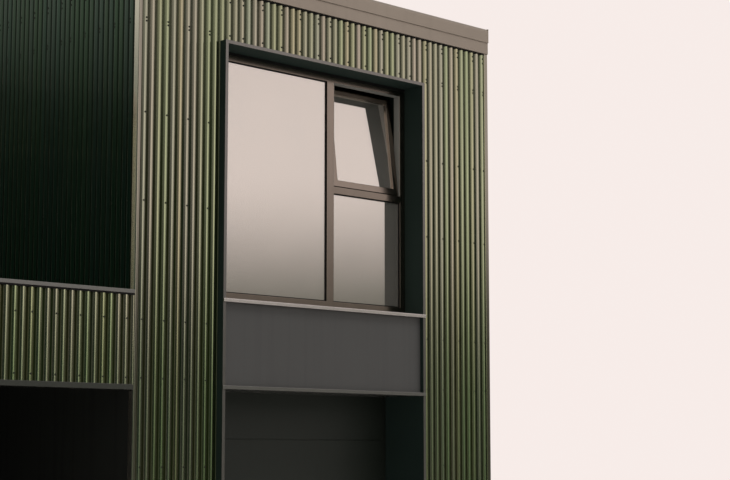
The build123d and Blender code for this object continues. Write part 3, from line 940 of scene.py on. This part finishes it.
@dataclass
class CorrugatedWall:
    """A wall of corrugated sheet, with a crest at its start line."""

    name: str
    node: str
    facing: Facing
    face: float
    crest_at: float
    strips: list[Strip]
    finish: SheetFinish = SHEET
    breaks: tuple[float, ...] = ()
    pitch: float = 0.076
    wave_depth: float = 0.018
    thickness: float = 0.060
    steps: int = 20
    cast_seed: int = 7
    cast_count: int = 512

    def wave(self, along: Array) -> Array:
        """Depth of the sheet behind its crests: half the wave depth times one minus the cosine."""
        return self.wave_depth / 2 * (1 - np.cos(2 * np.pi * (along - self.crest_at) / self.pitch))

    def _band(self, strip: Strip) -> Shape:
        """One strip as a closed band.

        The band's section has four points: front foot, front head, back head, back foot. Its
        front follows the wave, with a point at each step from the first crest on and at each
        break, and its back is flat.

        Args:
            strip: the stretch of sheet.

        Returns:
            Points and quads.
        """
        step, inside = self.pitch / self.steps, 1e-6
        first = math.ceil((strip.start - self.crest_at) / step + inside)
        last = math.floor((strip.end - self.crest_at) / step - inside)
        inner = self.crest_at + step * np.arange(first, last + 1)
        extra = [place for place in self.breaks if strip.start < place < strip.end]
        along = np.unique(np.concatenate([[strip.start, strip.end], inner, extra]))
        depth, back = self.wave(along), np.full_like(along, self.thickness)
        foot, head = np.full_like(along, strip.foot), strip.top(along)
        section = [(depth, foot), (depth, head), (back, head), (back, foot)]
        return band([self.facing.place(self.face, along, d, z) for d, z in section])

    def build(self, shop: Workshop) -> None:
        """Build the wall's piece.

        Each point carries its depth in the wave, 0 at a crest and 1 in a valley, and its wave's
        cast, a random share that the finish turns into a colour.

        Args:
            shop: the workshop that makes the piece.
        """
        shape = joined([self._band(strip) for strip in self.strips])
        mesh = shop.piece(self.name, shape, self.finish, self.node).data
        along, depth = self.facing.read(self.face, coordinates(mesh))
        share = np.clip(depth / self.wave_depth, 0, 1).astype(np.float32)
        number = np.round((along - self.crest_at) / self.pitch).astype(int)
        casts = np.random.default_rng(self.cast_seed).random(self.cast_count).astype(np.float32)
        for attribute, values in (("hollow", share), ("wave_cast", casts[number % len(casts)])):
            mesh.attributes.new(attribute, "FLOAT", "POINT").data.foreach_set("value", values)


@dataclass
class Cladding:
    """All the corrugated sheets and the screws that hold them."""

    sheet_waves: int = 14
    screw_waves: tuple[int, ...] = (1, 4, 7, 10, 13)
    screw_rows: tuple[float, ...] = (0.25, 0.95, 1.63, 2.37, 2.86, 3.87, 4.63, 5.422, 5.452, 5.757, 5.803)
    screw_radius: float = 0.009
    screw_sides: int = 10
    screw_profile: tuple[Range, ...] = (
        (0.0, 0.0042), (0.55, 0.0040), (0.62, 0.0018), (1.0, 0.0014), (1.0, -0.0010),
    )
    foot_clear: float = 0.05
    edge_clear: float = 0.02

    def _tall_wall(
        self, side: str, node: str, facing: Facing, face: float, crest: float,
    ) -> list[CorrugatedWall]:
        """The sheets beside and above the tall opening of the street or the garden side.

        Args:
            side: the first word of the pieces' names.
            node: the CAD node of the sheets beside the opening.
            facing: the side that the wall looks to.
            face: where its outer plane lies.
            crest: where its first crest lies.

        Returns:
            Both walls.
        """
        low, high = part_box("front_cladding")
        surround_low, surround_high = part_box("front_surround")
        window_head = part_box("front_cladding_head")[0].z
        piers = [Strip(low.x, surround_low.x, 0.0, high.z), Strip(surround_high.x, high.x, 0.0, high.z)]
        above = [Strip(surround_low.x, surround_high.x, window_head, high.z)]
        return [
            CorrugatedWall(f"{side}_sheet", node, facing, face, crest, piers),
            CorrugatedWall(f"{side}_sheet_head", f"{node}_head", facing, face, crest, above),
        ]

    def _gable_wall(self) -> CorrugatedWall:
        """The high wall above the bay, under the ends of both roof slopes.

        Returns:
            The wall.
        """
        low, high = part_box("side_cladding")
        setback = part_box("setback_cladding")[0].y + (high.x - low.x)
        wall_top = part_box("front_cladding")[1].z
        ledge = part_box("setback_coping")[1].z
        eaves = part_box("main_roof")[0].y
        slope = (high.z - wall_top) / -eaves

        def gable(along: Array) -> Array:
            """Heights of the wall's top: the distance in from the eaves, times the slope."""
            return wall_top + slope * np.clip(-eaves - np.abs(along), 0, None)

        strips = [Strip(low.y, setback, low.z, gable), Strip(setback, high.y, ledge, gable)]
        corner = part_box("front_cladding")[0].x
        return CorrugatedWall(
            "gable_sheet", "side_cladding", Facing.BAY, corner, low.y, strips, SHADED_SIDE_SHEET,
            breaks=(eaves, 0.0, -eaves),
        )

    def _setback_wall(self) -> CorrugatedWall:
        """The wall behind the terrace, with its door.

        Returns:
            The wall.
        """
        low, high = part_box("setback_cladding")
        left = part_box("bay_rear_cladding")[0].x
        door_low, door_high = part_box("terrace_door_frame")
        strips = [
            Strip(left, door_low.x, low.z, high.z),
            Strip(door_low.x, door_high.x, door_high.z, high.z),
            Strip(door_high.x, high.x, low.z, high.z),
        ]
        return CorrugatedWall("setback_sheet", "setback_cladding", Facing.STREET, low.y, left, strips)

    def walls(self) -> list[CorrugatedWall]:
        """All the walls, with their lines read from the CAD nodes' boxes.

        Returns:
            The walls, in the order in which they are built.
        """
        low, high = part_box("front_cladding")
        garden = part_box("rear_cladding")[1].y
        bay_low, bay_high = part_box("bay_rear_cladding")
        parapet_low, parapet_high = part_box("parapet_cladding")
        bay = [Strip(bay_low.x, bay_high.x, 0.0, bay_high.z)]
        parapet = [Strip(bay_low.x, parapet_high.x, parapet_low.z, parapet_high.z)]
        return [
            *self._tall_wall("street", "front_cladding", Facing.STREET, low.y, low.x),
            self._gable_wall(),
            self._setback_wall(),
            *self._tall_wall("garden", "rear_cladding", Facing.GARDEN, garden, high.x),
            CorrugatedWall("bay_garden_sheet", "bay_rear_cladding", Facing.GARDEN, garden, high.x, bay),
            CorrugatedWall(
                "parapet_sheet", "parapet_cladding", Facing.STREET, low.y, low.x, parapet, LIT_PARAPET_SHEET,
            ),
        ]

    def build(self, shop: Workshop) -> None:
        """Build the sheets and their screws.

        Args:
            shop: the workshop that makes the pieces.
        """
        walls = self.walls()
        for wall in walls:
            wall.build(shop)
        self._screws(shop, walls)

    def _screws(self, shop: Workshop, walls: list[CorrugatedWall]) -> None:
        """Build the screws as one piece.

        Each screw is a low dome with a washer: a profile of shares of the radius and heights
        over the crest, turned round the screw's axis. It sits on every third crest, counted
        anew from each sheet's lap.

        Args:
            shop: the workshop that makes the piece.
            walls: the sheets that the screws hold.
        """
        share, lift = np.array(self.screw_profile).T[:, :, None]
        turn = np.linspace(0, 2 * np.pi, self.screw_sides, endpoint=False)
        across, up = self.screw_radius * share * np.cos(turn), self.screw_radius * share * np.sin(turn)
        screws = []
        for wall, strip in ((wall, strip) for wall in walls for strip in wall.strips):
            first = math.ceil((strip.start + self.edge_clear - wall.crest_at) / wall.pitch)
            last = math.floor((strip.end - self.edge_clear - wall.crest_at) / wall.pitch)
            crests = np.arange(first, last + 1)
            crests = crests[np.isin(crests % self.sheet_waves, self.screw_waves)]
            along, height = np.meshgrid(wall.crest_at + wall.pitch * crests, self.screw_rows, indexing="ij")
            held = (height > strip.foot + self.foot_clear) & (height < strip.top(along) - self.edge_clear)
            along, height = (place[held][:, None, None] for place in (along, height))
            screws.append(wall.facing.place(wall.face, along + across, -lift, height + up))
        points = np.concatenate(screws)
        rings, sides = points.shape[1:3]
        faces = repeated(ring_faces(rings, sides), rings * sides, len(points))
        shop.piece("sheet_screws", (points.reshape(-1, 3), faces), SCREW)


@dataclass
class Metalwork:
    """Copings, flashings, trims and surrounds with softened edges."""

    fold: float = 0.0025
    roll: float = 0.04
    roll_flats: int = 6
    filler: float = 0.014
    filler_lap: float = 0.004
    filler_span: Range = (0.0015, 0.02)
    bend: float = 0.012
    bend_flats: int = 8
    edge_bend: float = 0.0055
    trim_thick: float = 0.006
    trim_front: float = 0.032
    trim_side: float = 0.064
    end_trim: float = 0.050

    def _angle(self, path: Array, outward: Array, foot: float, head: float) -> Shape:
        """An upright folded strip of sheet.

        The strip's section is a path and the same path moved inwards by the sheet's
        thickness. Each place on the path gives four points: outer foot, outer head, inner
        head and inner foot.

        Args:
            path: places along the outer face, in plan.
            outward: direction out of the sheet at each place.
            foot: height of the strip's foot.
            head: height of the strip's head.

        Returns:
            Points and quads, with both ends closed.
        """
        inner = path - self.trim_thick * outward
        low, high = np.full(len(path), foot), np.full(len(path), head)
        section = [(path, low), (path, high), (inner, high), (inner, low)]
        return band([np.column_stack([line, height]) for line, height in section])

    def _trims(self, shop: Workshop) -> None:
        """Build the corner angles.

        The near one has two legs joined by a quarter circle. The far one has one leg and a
        quarter circle of its own.

        Args:
            shop: the workshop that makes the piece.
        """
        low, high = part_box("corner_trims")
        turn = np.linspace(0, np.pi / 2, self.bend_flats + 1)
        outward = np.stack([-np.cos(turn), -np.sin(turn)], axis=1)
        fold = np.array([low.x + self.bend, low.y + self.bend]) + self.bend * outward
        legs = np.array([[low.x, low.y + self.trim_side], [low.x + self.trim_front, low.y]])
        path = np.concatenate([legs[:1], fold, legs[1:]])
        near = self._angle(path, np.concatenate([outward[:1], outward, outward[-1:]]), low.z, high.z)
        mirrored = outward[::-1] * (-1, 1)
        edge = np.array([high.x - self.edge_bend, low.y + self.edge_bend]) + self.edge_bend * mirrored
        path = np.concatenate([[[high.x - self.end_trim, low.y]], edge])
        far = self._angle(path, np.concatenate([mirrored[:1], mirrored]), low.z, high.z)
        shop.piece("corner_angles", joined([near, far]), TRIM, "corner_trims")

    def _fillers_and_painted_shadow(self, shop: Workshop) -> None:
        """Black strips that close the sheet's waves just below the copings and the parapet's cap, and that
        stand in for the shadow under those caps as well: partly real closures, partly painted shadow.

        Args:
            shop: the workshop that makes the piece.
        """
        # partly painted shadow: the strips also stand in for the shadow line under each cap
        low, high = [], []
        for sheet, cap, outward in (
            ("front_cladding", "front_coping", -1.0), ("rear_cladding", "rear_coping", 1.0),
            ("parapet_cladding", "parapet_top_flashing", -1.0), ("setback_cladding", "setback_coping", -1.0),
        ):
            sheet_low, sheet_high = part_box(sheet)
            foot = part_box(cap)[0].z
            face = sheet_low.y if outward < 0 else sheet_high.y
            proud, inside = self.filler_span
            front, back = sorted((face + outward * proud, face - outward * inside))
            low.append([sheet_low.x, front, foot - self.filler])
            high.append([sheet_high.x, back, foot + self.filler_lap])
        shop.piece("wave_fillers_and_painted_shadow", boxes(np.array(low), np.array(high)), GASKET)

    def build(self, shop: Workshop) -> None:
        """Build and dress the metalwork.

        Args:
            shop: the workshop that makes the pieces.
        """
        for side in ("front", "rear"):
            shop.softened(f"{side}_folded_surround", f"{side}_surround", SURROUND, self.fold)
            shop.softened(f"{side}_sill_sheet", f"{side}_sill_flashing", SILL_PAINTED_LIGHT, 2 * self.fold)
            shop.softened(f"{side}_drip_sheet", f"{side}_spandrel_flashing", FLASHING, self.fold)
            shop.softened(f"{side}_spandrel_sheet", f"{side}_spandrel_panel", SPANDREL, self.fold)
        for name in ("front_coping", "rear_coping", "left_coping", "party_coping", "setback_coping"):
            shop.softened(f"{name}_sheet", name, COPING, self.fold, self.roll_flats, self.roll)
        self._fillers_and_painted_shadow(shop)
        self._trims(shop)
        shop.softened("parapet_cap_sheet", "parapet_top_flashing", FLASHING, self.fold)
        shop.softened("parapet_drip_sheet", "parapet_bottom_flashing", SHADED_DRIP, self.fold)


@dataclass
class Openings:
    """Windows and doors with their seals, rebates and handles.

    Each handle is given by its node, its share of the node's width and its side along Y.
    """

    frame_edge: float = 0.003
    leaf_edge: float = 0.002
    pane: float = 0.024
    place_digits: int = 5
    order_digits: int = 4
    seal: float = 0.009
    seal_depth: float = 0.006
    head_shadow_strip: float = 0.028
    rebate: float = 0.0015
    rebate_back: float = 0.002
    sash_gap: float = 0.006
    handle_height: float = 1.02
    handle_reach: float = 0.052
    handle_length: float = 0.13
    handle_radius: float = 0.010
    handle_bend: float = 0.014
    handle_flats: int = 6
    handles: tuple[tuple[str, float, float], ...] = (
        ("terrace_door_frame", 0.535, -1.0), ("rear_window_frames", 0.41, 1.0), ("entrance_door", 0.1, -1.0),
    )

    def build(self, shop: Workshop) -> None:
        """Build and dress the windows and doors.

        Args:
            shop: the workshop that makes the pieces.
        """
        for name, node in (
            ("street_window_frame", "window_frame"), ("tilted_sash", "tilt_sash"),
            ("garden_window_frames", "rear_window_frames"), ("terrace_door_frames", "terrace_door_frame"),
        ):
            shop.softened(name, node, FRAME, self.frame_edge)
        shop.dress_nodes(GLASS, "window_glass", "rear_window_glass")
        shop.dress_nodes(TERRACE_GLASS, "terrace_door_glass")
        shop.softened("garage_door_leaf", "garage_door", DOOR, self.leaf_edge)
        shop.dress_nodes(DOOR, "garage_frame", "entrance_frame", "entrance_door")
        shop.dress_nodes(CONCRETE, "rear_door_threshold")
        self._seals(shop)
        self._rebate(shop)
        self._handles(shop)

    def _panes(self, shop: Workshop, node: str) -> list[tuple[Array, Array]]:
        """The boxes of a glass node's separate panes.

        Each point starts with its own number, and both ends of every edge take the lower of
        their two numbers until nothing changes. Points with one number are one pane.

        Args:
            shop: the workshop that holds the nodes.
            node: the glass node.

        Returns:
            The lowest and highest corner of each pane.
        """
        mesh = shop.nodes[node].data
        rounded = np.round(coordinates(mesh), self.place_digits)
        points, same = np.unique(rounded, axis=0, return_inverse=True)
        edges = np.zeros(len(mesh.edges) * 2, np.int32)
        mesh.edges.foreach_get("vertices", edges)
        ends = same.reshape(-1)[edges].reshape(-1, 2)
        number, before = np.arange(len(points)), None
        while not np.array_equal(number, before):
            before = number.copy()
            np.minimum.at(number, ends, before[ends].min(axis=1, keepdims=True))
        place = coordinates(mesh).astype(float)
        owner = number[same.reshape(-1)]
        panes = [place[owner == pane] for pane in np.unique(owner)]
        found = [(pane.min(axis=0), pane.max(axis=0)) for pane in panes]
        return sorted(found, key=lambda box: tuple(np.round(box[0], self.order_digits)))

    def _seals(self, shop: Workshop) -> None:
        """Black seals in front of each upright pane, and a black strip under the street window's head that
        stands in for the shadow there, a painted shadow.

        Args:
            shop: the workshop that makes the piece.
        """
        shapes = []
        for node in ("window_glass", "rear_window_glass", "terrace_door_glass"):
            for low, high in self._panes(shop, node):
                if high[1] - low[1] > 2 * self.pane:
                    continue
                on_street = low[1] < 0
                front = low[1] - self.seal_depth if on_street else high[1]
                x0, z0, x1, z1 = low[0], low[2], high[0], high[2]
                ring = [
                    [x0, z0, x1, z0 + self.seal],
                    [x0, z1 - self.seal, x1, z1],
                    [x0, z0 + self.seal, x0 + self.seal, z1 - self.seal],
                    [x1 - self.seal, z0 + self.seal, x1, z1 - self.seal],
                ]
                shapes.append(bars(ring, front, low[1] if on_street else high[1] + self.seal_depth))
        low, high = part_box("window_frame")
        # painted shadow: a black strip under the window's head stands in for its shadow
        shapes.append(bars([[low.x, high.z - self.head_shadow_strip, high.x, high.z]], low.y - self.rebate, low.y))
        shop.piece("glazing_seals", joined(shapes), GASKET)

    def _rebate(self, shop: Workshop) -> None:
        """A pale liner on the head and the sides of the frame's opening for the tilted sash.

        Args:
            shop: the workshop that makes the piece.
        """
        frame_low, frame_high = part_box("window_frame")
        sash_low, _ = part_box("tilt_sash")
        (_, wide_high), *others = self._panes(shop, "window_glass")
        _, low_high = min(others, key=lambda box: box[0][2])
        left, right, foot, head = sash_low.x - self.sash_gap, low_high[0], sash_low.z, wide_high[2]
        under = head - self.rebate
        spans = [[left, under, right, head], [left, foot, left + self.rebate, under]]
        spans.append([right - self.rebate, foot, right, under])
        shop.piece("sash_rebate", bars(spans, frame_low.y + self.rebate_back, frame_high.y), REBATE)

    def _handles(self, shop: Workshop) -> None:
        """Lever handles on the terrace door, the garden door and the entrance door.

        Each is a bar that comes straight out, turns a quarter circle and runs along the door.

        Args:
            shop: the workshop that makes the piece.
        """
        bend, turn = self.handle_bend, np.linspace(0, np.pi / 2, self.handle_flats + 1)
        out = np.concatenate([[0.0], self.handle_reach - bend + bend * np.sin(turn), [self.handle_reach]])
        along = np.concatenate([[0.0], bend * (1 - np.cos(turn)), [self.handle_length]])
        levers = []
        for node, share, outward in self.handles:
            low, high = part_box(node)
            face = low.y if outward < 0 else high.y
            height = np.full_like(out, low.z + self.handle_height)
            path = np.stack([low.x + share * (high.x - low.x) + along, face + outward * out, height], axis=1)
            levers.append(tube(path, self.handle_radius))
        shop.piece("door_handles", joined(levers), HARDWARE)


@dataclass
class Roofs:
    """Standing seams and ridge of the gabled roof, and the paving of the terrace."""

    seam_spacing: float = 0.42
    seam_width: float = 0.012
    seam_height: float = 0.028
    seam_sunk: float = 0.001
    ridge_width: float = 0.14
    ridge_thick: float = 0.004
    level_slack: float = 1e-4
    tile: float = 0.45
    tile_joint: float = 0.005
    tile_thick: float = 0.02

    def build(self, shop: Workshop) -> None:
        """Build the seams with the ridge, and the paving.

        Args:
            shop: the workshop that makes the pieces.
        """
        low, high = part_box("main_roof")
        place = coordinates(shop.nodes["main_roof"].data)
        at_eaves = np.abs(place[:, 1] - place[:, 1].min()) < self.level_slack
        eaves = float(place[at_eaves, 2].max())
        slopes = [self._slope(low, high, eaves, side) for side in (-1.0, 1.0)]
        shop.piece("roof_seams", joined(slopes), ROOF)
        self._paving(shop)

    def _slope(self, low: Array, high: Array, eaves: float, side: float) -> Shape:
        """One slope's seams and its half of the ridge.

        They are boxes laid on a level plane, across the house and up the slope, which is then
        turned about the eaves to the slope's direction.

        Args:
            low: lowest corner of the roof.
            high: highest corner of the roof.
            eaves: height of the roof's top face at its eaves.
            side: -1 for the street's slope and 1 for the garden's.

        Returns:
            Points and quads.
        """
        along = np.array([0.0, -side * high.y, high.z - eaves])
        length = float(np.linalg.norm(along))
        slope = along / length
        turned = np.stack([[1.0, 0.0, 0.0], slope, [0.0, side * slope[2], abs(slope[1])]])
        count = int((high.x - low.x) / self.seam_spacing)
        middles = low.x + (np.arange(count) + 0.5) * (high.x - low.x) / count
        zero = np.zeros(count)
        half = self.seam_width / 2
        lows = np.stack([middles - half, zero, zero - self.seam_sunk], axis=1)
        highs = np.stack([middles + half, zero + length, zero + self.seam_height], axis=1)
        ridge_low = [low.x, length - self.ridge_width, self.seam_height - self.ridge_thick]
        ridge_high = [high.x, length + self.ridge_thick, self.seam_height + self.ridge_thick]
        local, faces = boxes(np.vstack([lows, ridge_low]), np.vstack([highs, ridge_high]))
        return np.array([0.0, side * high.y, eaves]) + local @ turned, faces

    def _paving(self, shop: Workshop) -> None:
        """Lay the terrace's tiles: a grid of equal tiles with open joints, cut from the slab's size.

        Args:
            shop: the workshop that makes the piece.
        """
        low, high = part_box("terrace_slab")
        width, depth = high.x - low.x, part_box("terrace_door_frame")[0].y - low.y
        columns, rows = round(width / self.tile), round(depth / self.tile)
        column, row = np.meshgrid(np.arange(columns), np.arange(rows))
        x = low.x + column.reshape(-1) * width / columns
        y = low.y + row.reshape(-1) * depth / rows
        gap = self.tile_joint / 2
        foot, top = np.full_like(x, high.z), np.full_like(x, high.z + self.tile_thick)
        lows = np.stack([x + gap, y + gap, foot], axis=1)
        highs = np.stack([x + width / columns - gap, y + depth / rows - gap, top], axis=1)
        shop.piece("terrace_tiles", boxes(lows, highs), PAVING)


@dataclass
class Shell:
    """Masonry, floors and roofs."""

    masonry: tuple[str, ...] = (
        "left_wall", "party_wall", "front_wall_piers", "front_wall_beams", "rear_wall_piers",
        "rear_wall_beams", "side_lining", "bay_party_wall", "bay_rear_wall", "carport_rear_wall",
        "setback_wall", "parapet_core",
    )
    floors: tuple[str, ...] = ("ground_slab", "upper_floor", "terrace_slab")

    def build(self, shop: Workshop) -> None:
        """Dress the masonry, the floors and the roofs.

        Args:
            shop: the workshop that dresses the nodes.
        """
        shop.dress_nodes(RENDER, *self.masonry)
        shop.dress_nodes(CONCRETE, *self.floors)
        shop.dress_nodes(ROOF, "main_roof")
        shop.dress_nodes(MEMBRANE, "setback_roof")
        shop.dress_nodes(CHIMNEY, "chimney_stack", "chimney_cap")


@dataclass
class Studio:
    """Pale floor, soft light and the photograph's camera.

    The sky's ranges are shares of a direction that run along X, along Y, upwards or along one
    of the named ways. The floor's noise is given by its scale and detail.
    """

    sky: Colour = (0.93, 0.84, 0.81)
    zenith: Colour = (0.42, 0.41, 0.40)
    zenith_from: Range = (0.4, 0.85)
    fill: Colour = (0.50, 0.48, 0.47)
    far_fill: Colour = (0.08, 0.09, 0.082)
    fill_from: Range = (-0.35, 0.4)
    shade: Colour = (0.014, 0.032, 0.022)
    behind: Colour = (0.09, 0.105, 0.08)
    behind_from: Range = (0.4, 0.7)
    far_sky: Colour = (0.62, 0.58, 0.52)
    far_sky_from: Range = (0.19, 0.31)
    across: Colour = (0.100, 0.108, 0.082)
    across_from: Range = (0.3, 0.6)
    street_way: Vector = (0.6, -0.8, 0.0)
    street_sky: Range = (0.2, 0.55)
    right_sky: Range = (0.0, 0.4)
    skyline: Range = (0.07, 0.175)
    opposite: Colour = (0.32, 0.41, 0.28)
    glow: Colour = (1.65, 1.49, 1.38)
    glow_from: Range = (0.03, 0.14)
    sliver_way: Vector = (-0.05, -1.0, 0.0)
    sliver: Range = (0.91, 0.985)
    floor_size: float = 160.0
    floor_below: float = 0.002
    floor_colours: tuple[Colour, Colour] = ((0.72, 0.69, 0.67), (0.78, 0.75, 0.73))
    floor_noise: Range = (3.0, 4.0)
    floor_roughness: float = 0.8
    floor_fade: Range = (10.0, 45.0)
    floor_glow: Range = (0.35, 1.0)
    far_floor: Colour = (0.05, 0.075, 0.04)
    far_floor_from: Range = (24.0, 34.0)
    lamps: tuple[tuple[str, Vector], ...] = (
        ("street_lamp", (4.0, -17.0, 24.0)), ("garden_lamp", (4.0, 17.0, 24.0)),
    )
    lamp_size: float = 10.0
    lamp_power: float = 1500.0
    lamp_colour: Colour = (1.0, 0.95, 0.91)
    lamp_aim: float = 3.0
    camera_at: Vector = (-8.722, -15.422, 1.728)
    heading: float = -43.57
    tilt: float = 6.72
    lens: float = 81.0
    sensor: float = 36.0
    shift: float = 0.03
    view_end: float = 400.0

    def build(self) -> None:
        """Set up the studio."""
        scene = bpy.context.scene
        scene.view_settings.view_transform = "Standard"
        self._world(scene)
        self._floor()
        self._lamps()
        self._camera(scene)

    def _mirrored(self, desk: NodeDesk) -> Socket:
        """The sky that coatings and glass mirror: pale above the skyline, dark below it and behind.

        Args:
            desk: the desk of the world's tree.

        Returns:
            The colour in each direction, with one bright sliver straight across the street.
        """
        way = desk.add("TexCoord").outputs["Generated"]
        parts = desk.axes(way)
        street = desk.ramp(desk.dot(way, self.street_way), *self.street_sky)
        bright = desk.math("MAXIMUM", desk.ramp(parts["X"], *self.right_sky), street)
        overhead = desk.mix(desk.ramp(parts["Z"], *self.zenith_from), self.sky, self.zenith)
        dim = desk.mix(desk.ramp(parts["Y"], *self.behind_from), self.shade, self.behind)
        far_side = desk.mix(desk.ramp(parts["Z"], *self.far_sky_from), dim, self.far_sky)
        across = desk.mix(desk.ramp(parts["X"], *self.across_from), dim, self.across)
        open_sky = desk.mix(bright, far_side, overhead)
        mirrored = desk.mix(desk.ramp(parts["Z"], *self.skyline), across, open_sky)
        glow = desk.mix(desk.ramp(parts["Z"], *self.glow_from), self.opposite, self.glow)
        return desk.mix(desk.ramp(desk.dot(way, self.sliver_way), *self.sliver), mirrored, glow)

    def _world(self, scene: bpy.types.Scene) -> None:
        """A pale backdrop for the camera, soft light for matt faces and the mirrored sky for the rest.

        Args:
            scene: the scene that gets the world.
        """
        world = bpy.data.worlds.new("studio sky")
        world.use_nodes = True
        scene.world = world
        desk = NodeDesk(world.node_tree)
        parts = desk.axes(desk.add("TexCoord").outputs["Generated"])
        path = desk.add("LightPath").outputs
        soft = desk.mix(desk.ramp(parts["X"], *self.fill_from), self.far_fill, self.fill)
        lit = desk.mix(path["Is Diffuse Ray"], self._mirrored(desk), soft)
        seen = desk.mix(path["Is Camera Ray"], lit, self.sky)
        desk.finish(desk.add("Background", {"Color": seen, "Strength": 1.0}), "OutputWorld")

    def _floor(self) -> None:
        """A wide pale floor just under the house, which grows paler for the camera towards its edge."""
        half, height = self.floor_size / 2, -self.floor_below
        mesh = bpy.data.meshes.new("studio_floor")
        places = [(-half, -half, height), (half, -half, height), (half, half, height), (-half, half, height)]
        mesh.from_pydata(places, [], [(0, 1, 2, 3)])
        floor = bpy.data.objects.new("studio_floor", mesh)
        bpy.context.scene.collection.objects.link(floor)
        material, desk = new_material("pale floor")
        place = desk.place()
        colour = desk.mix(desk.noise(place, *self.floor_noise), *self.floor_colours)
        coating = {"Base Color": colour, "Roughness": self.floor_roughness}
        matt = desk.add("BsdfPrincipled", coating).outputs[0]
        pale = desk.add("Emission", {"Color": self.sky}).outputs[0]
        dark = desk.add("Emission", {"Color": self.far_floor}).outputs[0]
        path = desk.add("LightPath").outputs
        away = desk.add("VectorMath", {0: place}, operation="LENGTH").outputs["Value"]
        seen = desk.math("MAXIMUM", path["Is Camera Ray"], path["Is Transmission Ray"])
        share = desk.math("MULTIPLY", seen, desk.ramp(away, *self.floor_fade, *self.floor_glow))
        far = desk.math("MULTIPLY", path["Is Glossy Ray"], desk.ramp(away, *self.far_floor_from))
        mirrored = desk.add("MixShader", {0: far, 1: matt, 2: dark}).outputs[0]
        desk.finish(desk.add("MixShader", {0: share, 1: mirrored, 2: pale}))
        mesh.materials.append(material)

    def _lamps(self) -> None:
        """Two large soft lamps, kept out of the mirror of the glass."""
        for name, place in self.lamps:
            data = bpy.data.lights.new(name, "AREA")
            data.shape = "DISK"
            data.size = self.lamp_size
            data.energy = self.lamp_power
            data.color = self.lamp_colour
            lamp = bpy.data.objects.new(name, data)
            lamp.location = place
            towards = -lamp.location.copy()
            towards.z += self.lamp_aim
            lamp.rotation_euler = towards.to_track_quat("-Z", "Y").to_euler()
            lamp.visible_glossy = False
            bpy.context.scene.collection.objects.link(lamp)

    def _camera(self, scene: bpy.types.Scene) -> None:
        """The photograph's camera: its place, heading, upward tilt and lens.

        Args:
            scene: the scene that gets the camera.
        """
        data = bpy.data.cameras.new("photo_camera")
        data.lens = self.lens
        data.sensor_width = self.sensor
        data.shift_y = self.shift
        data.clip_end = self.view_end
        camera = bpy.data.objects.new("photo_camera", data)
        camera.location = self.camera_at
        camera.rotation_euler = (math.radians(90.0 + self.tilt), 0.0, math.radians(self.heading))
        scene.collection.objects.link(camera)
        scene.camera = camera


def corners(box: tuple) -> list[list[float]]:
    """A box's two corners as plain lists."""
    return [list(map(float, corner)) for corner in box]


def main() -> None:
    """Load the frame, build and dress the house, and set up the studio."""
    logging.basicConfig(level=logging.INFO, format="%(name)s: %(message)s")
    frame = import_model()
    shop = Workshop(frame["nodes"])
    for part in (Cladding(), Metalwork(), Openings(), Roofs(), Shell()):
        part.build(shop)
    Studio().build()


if __name__ == "__main__":
    main()
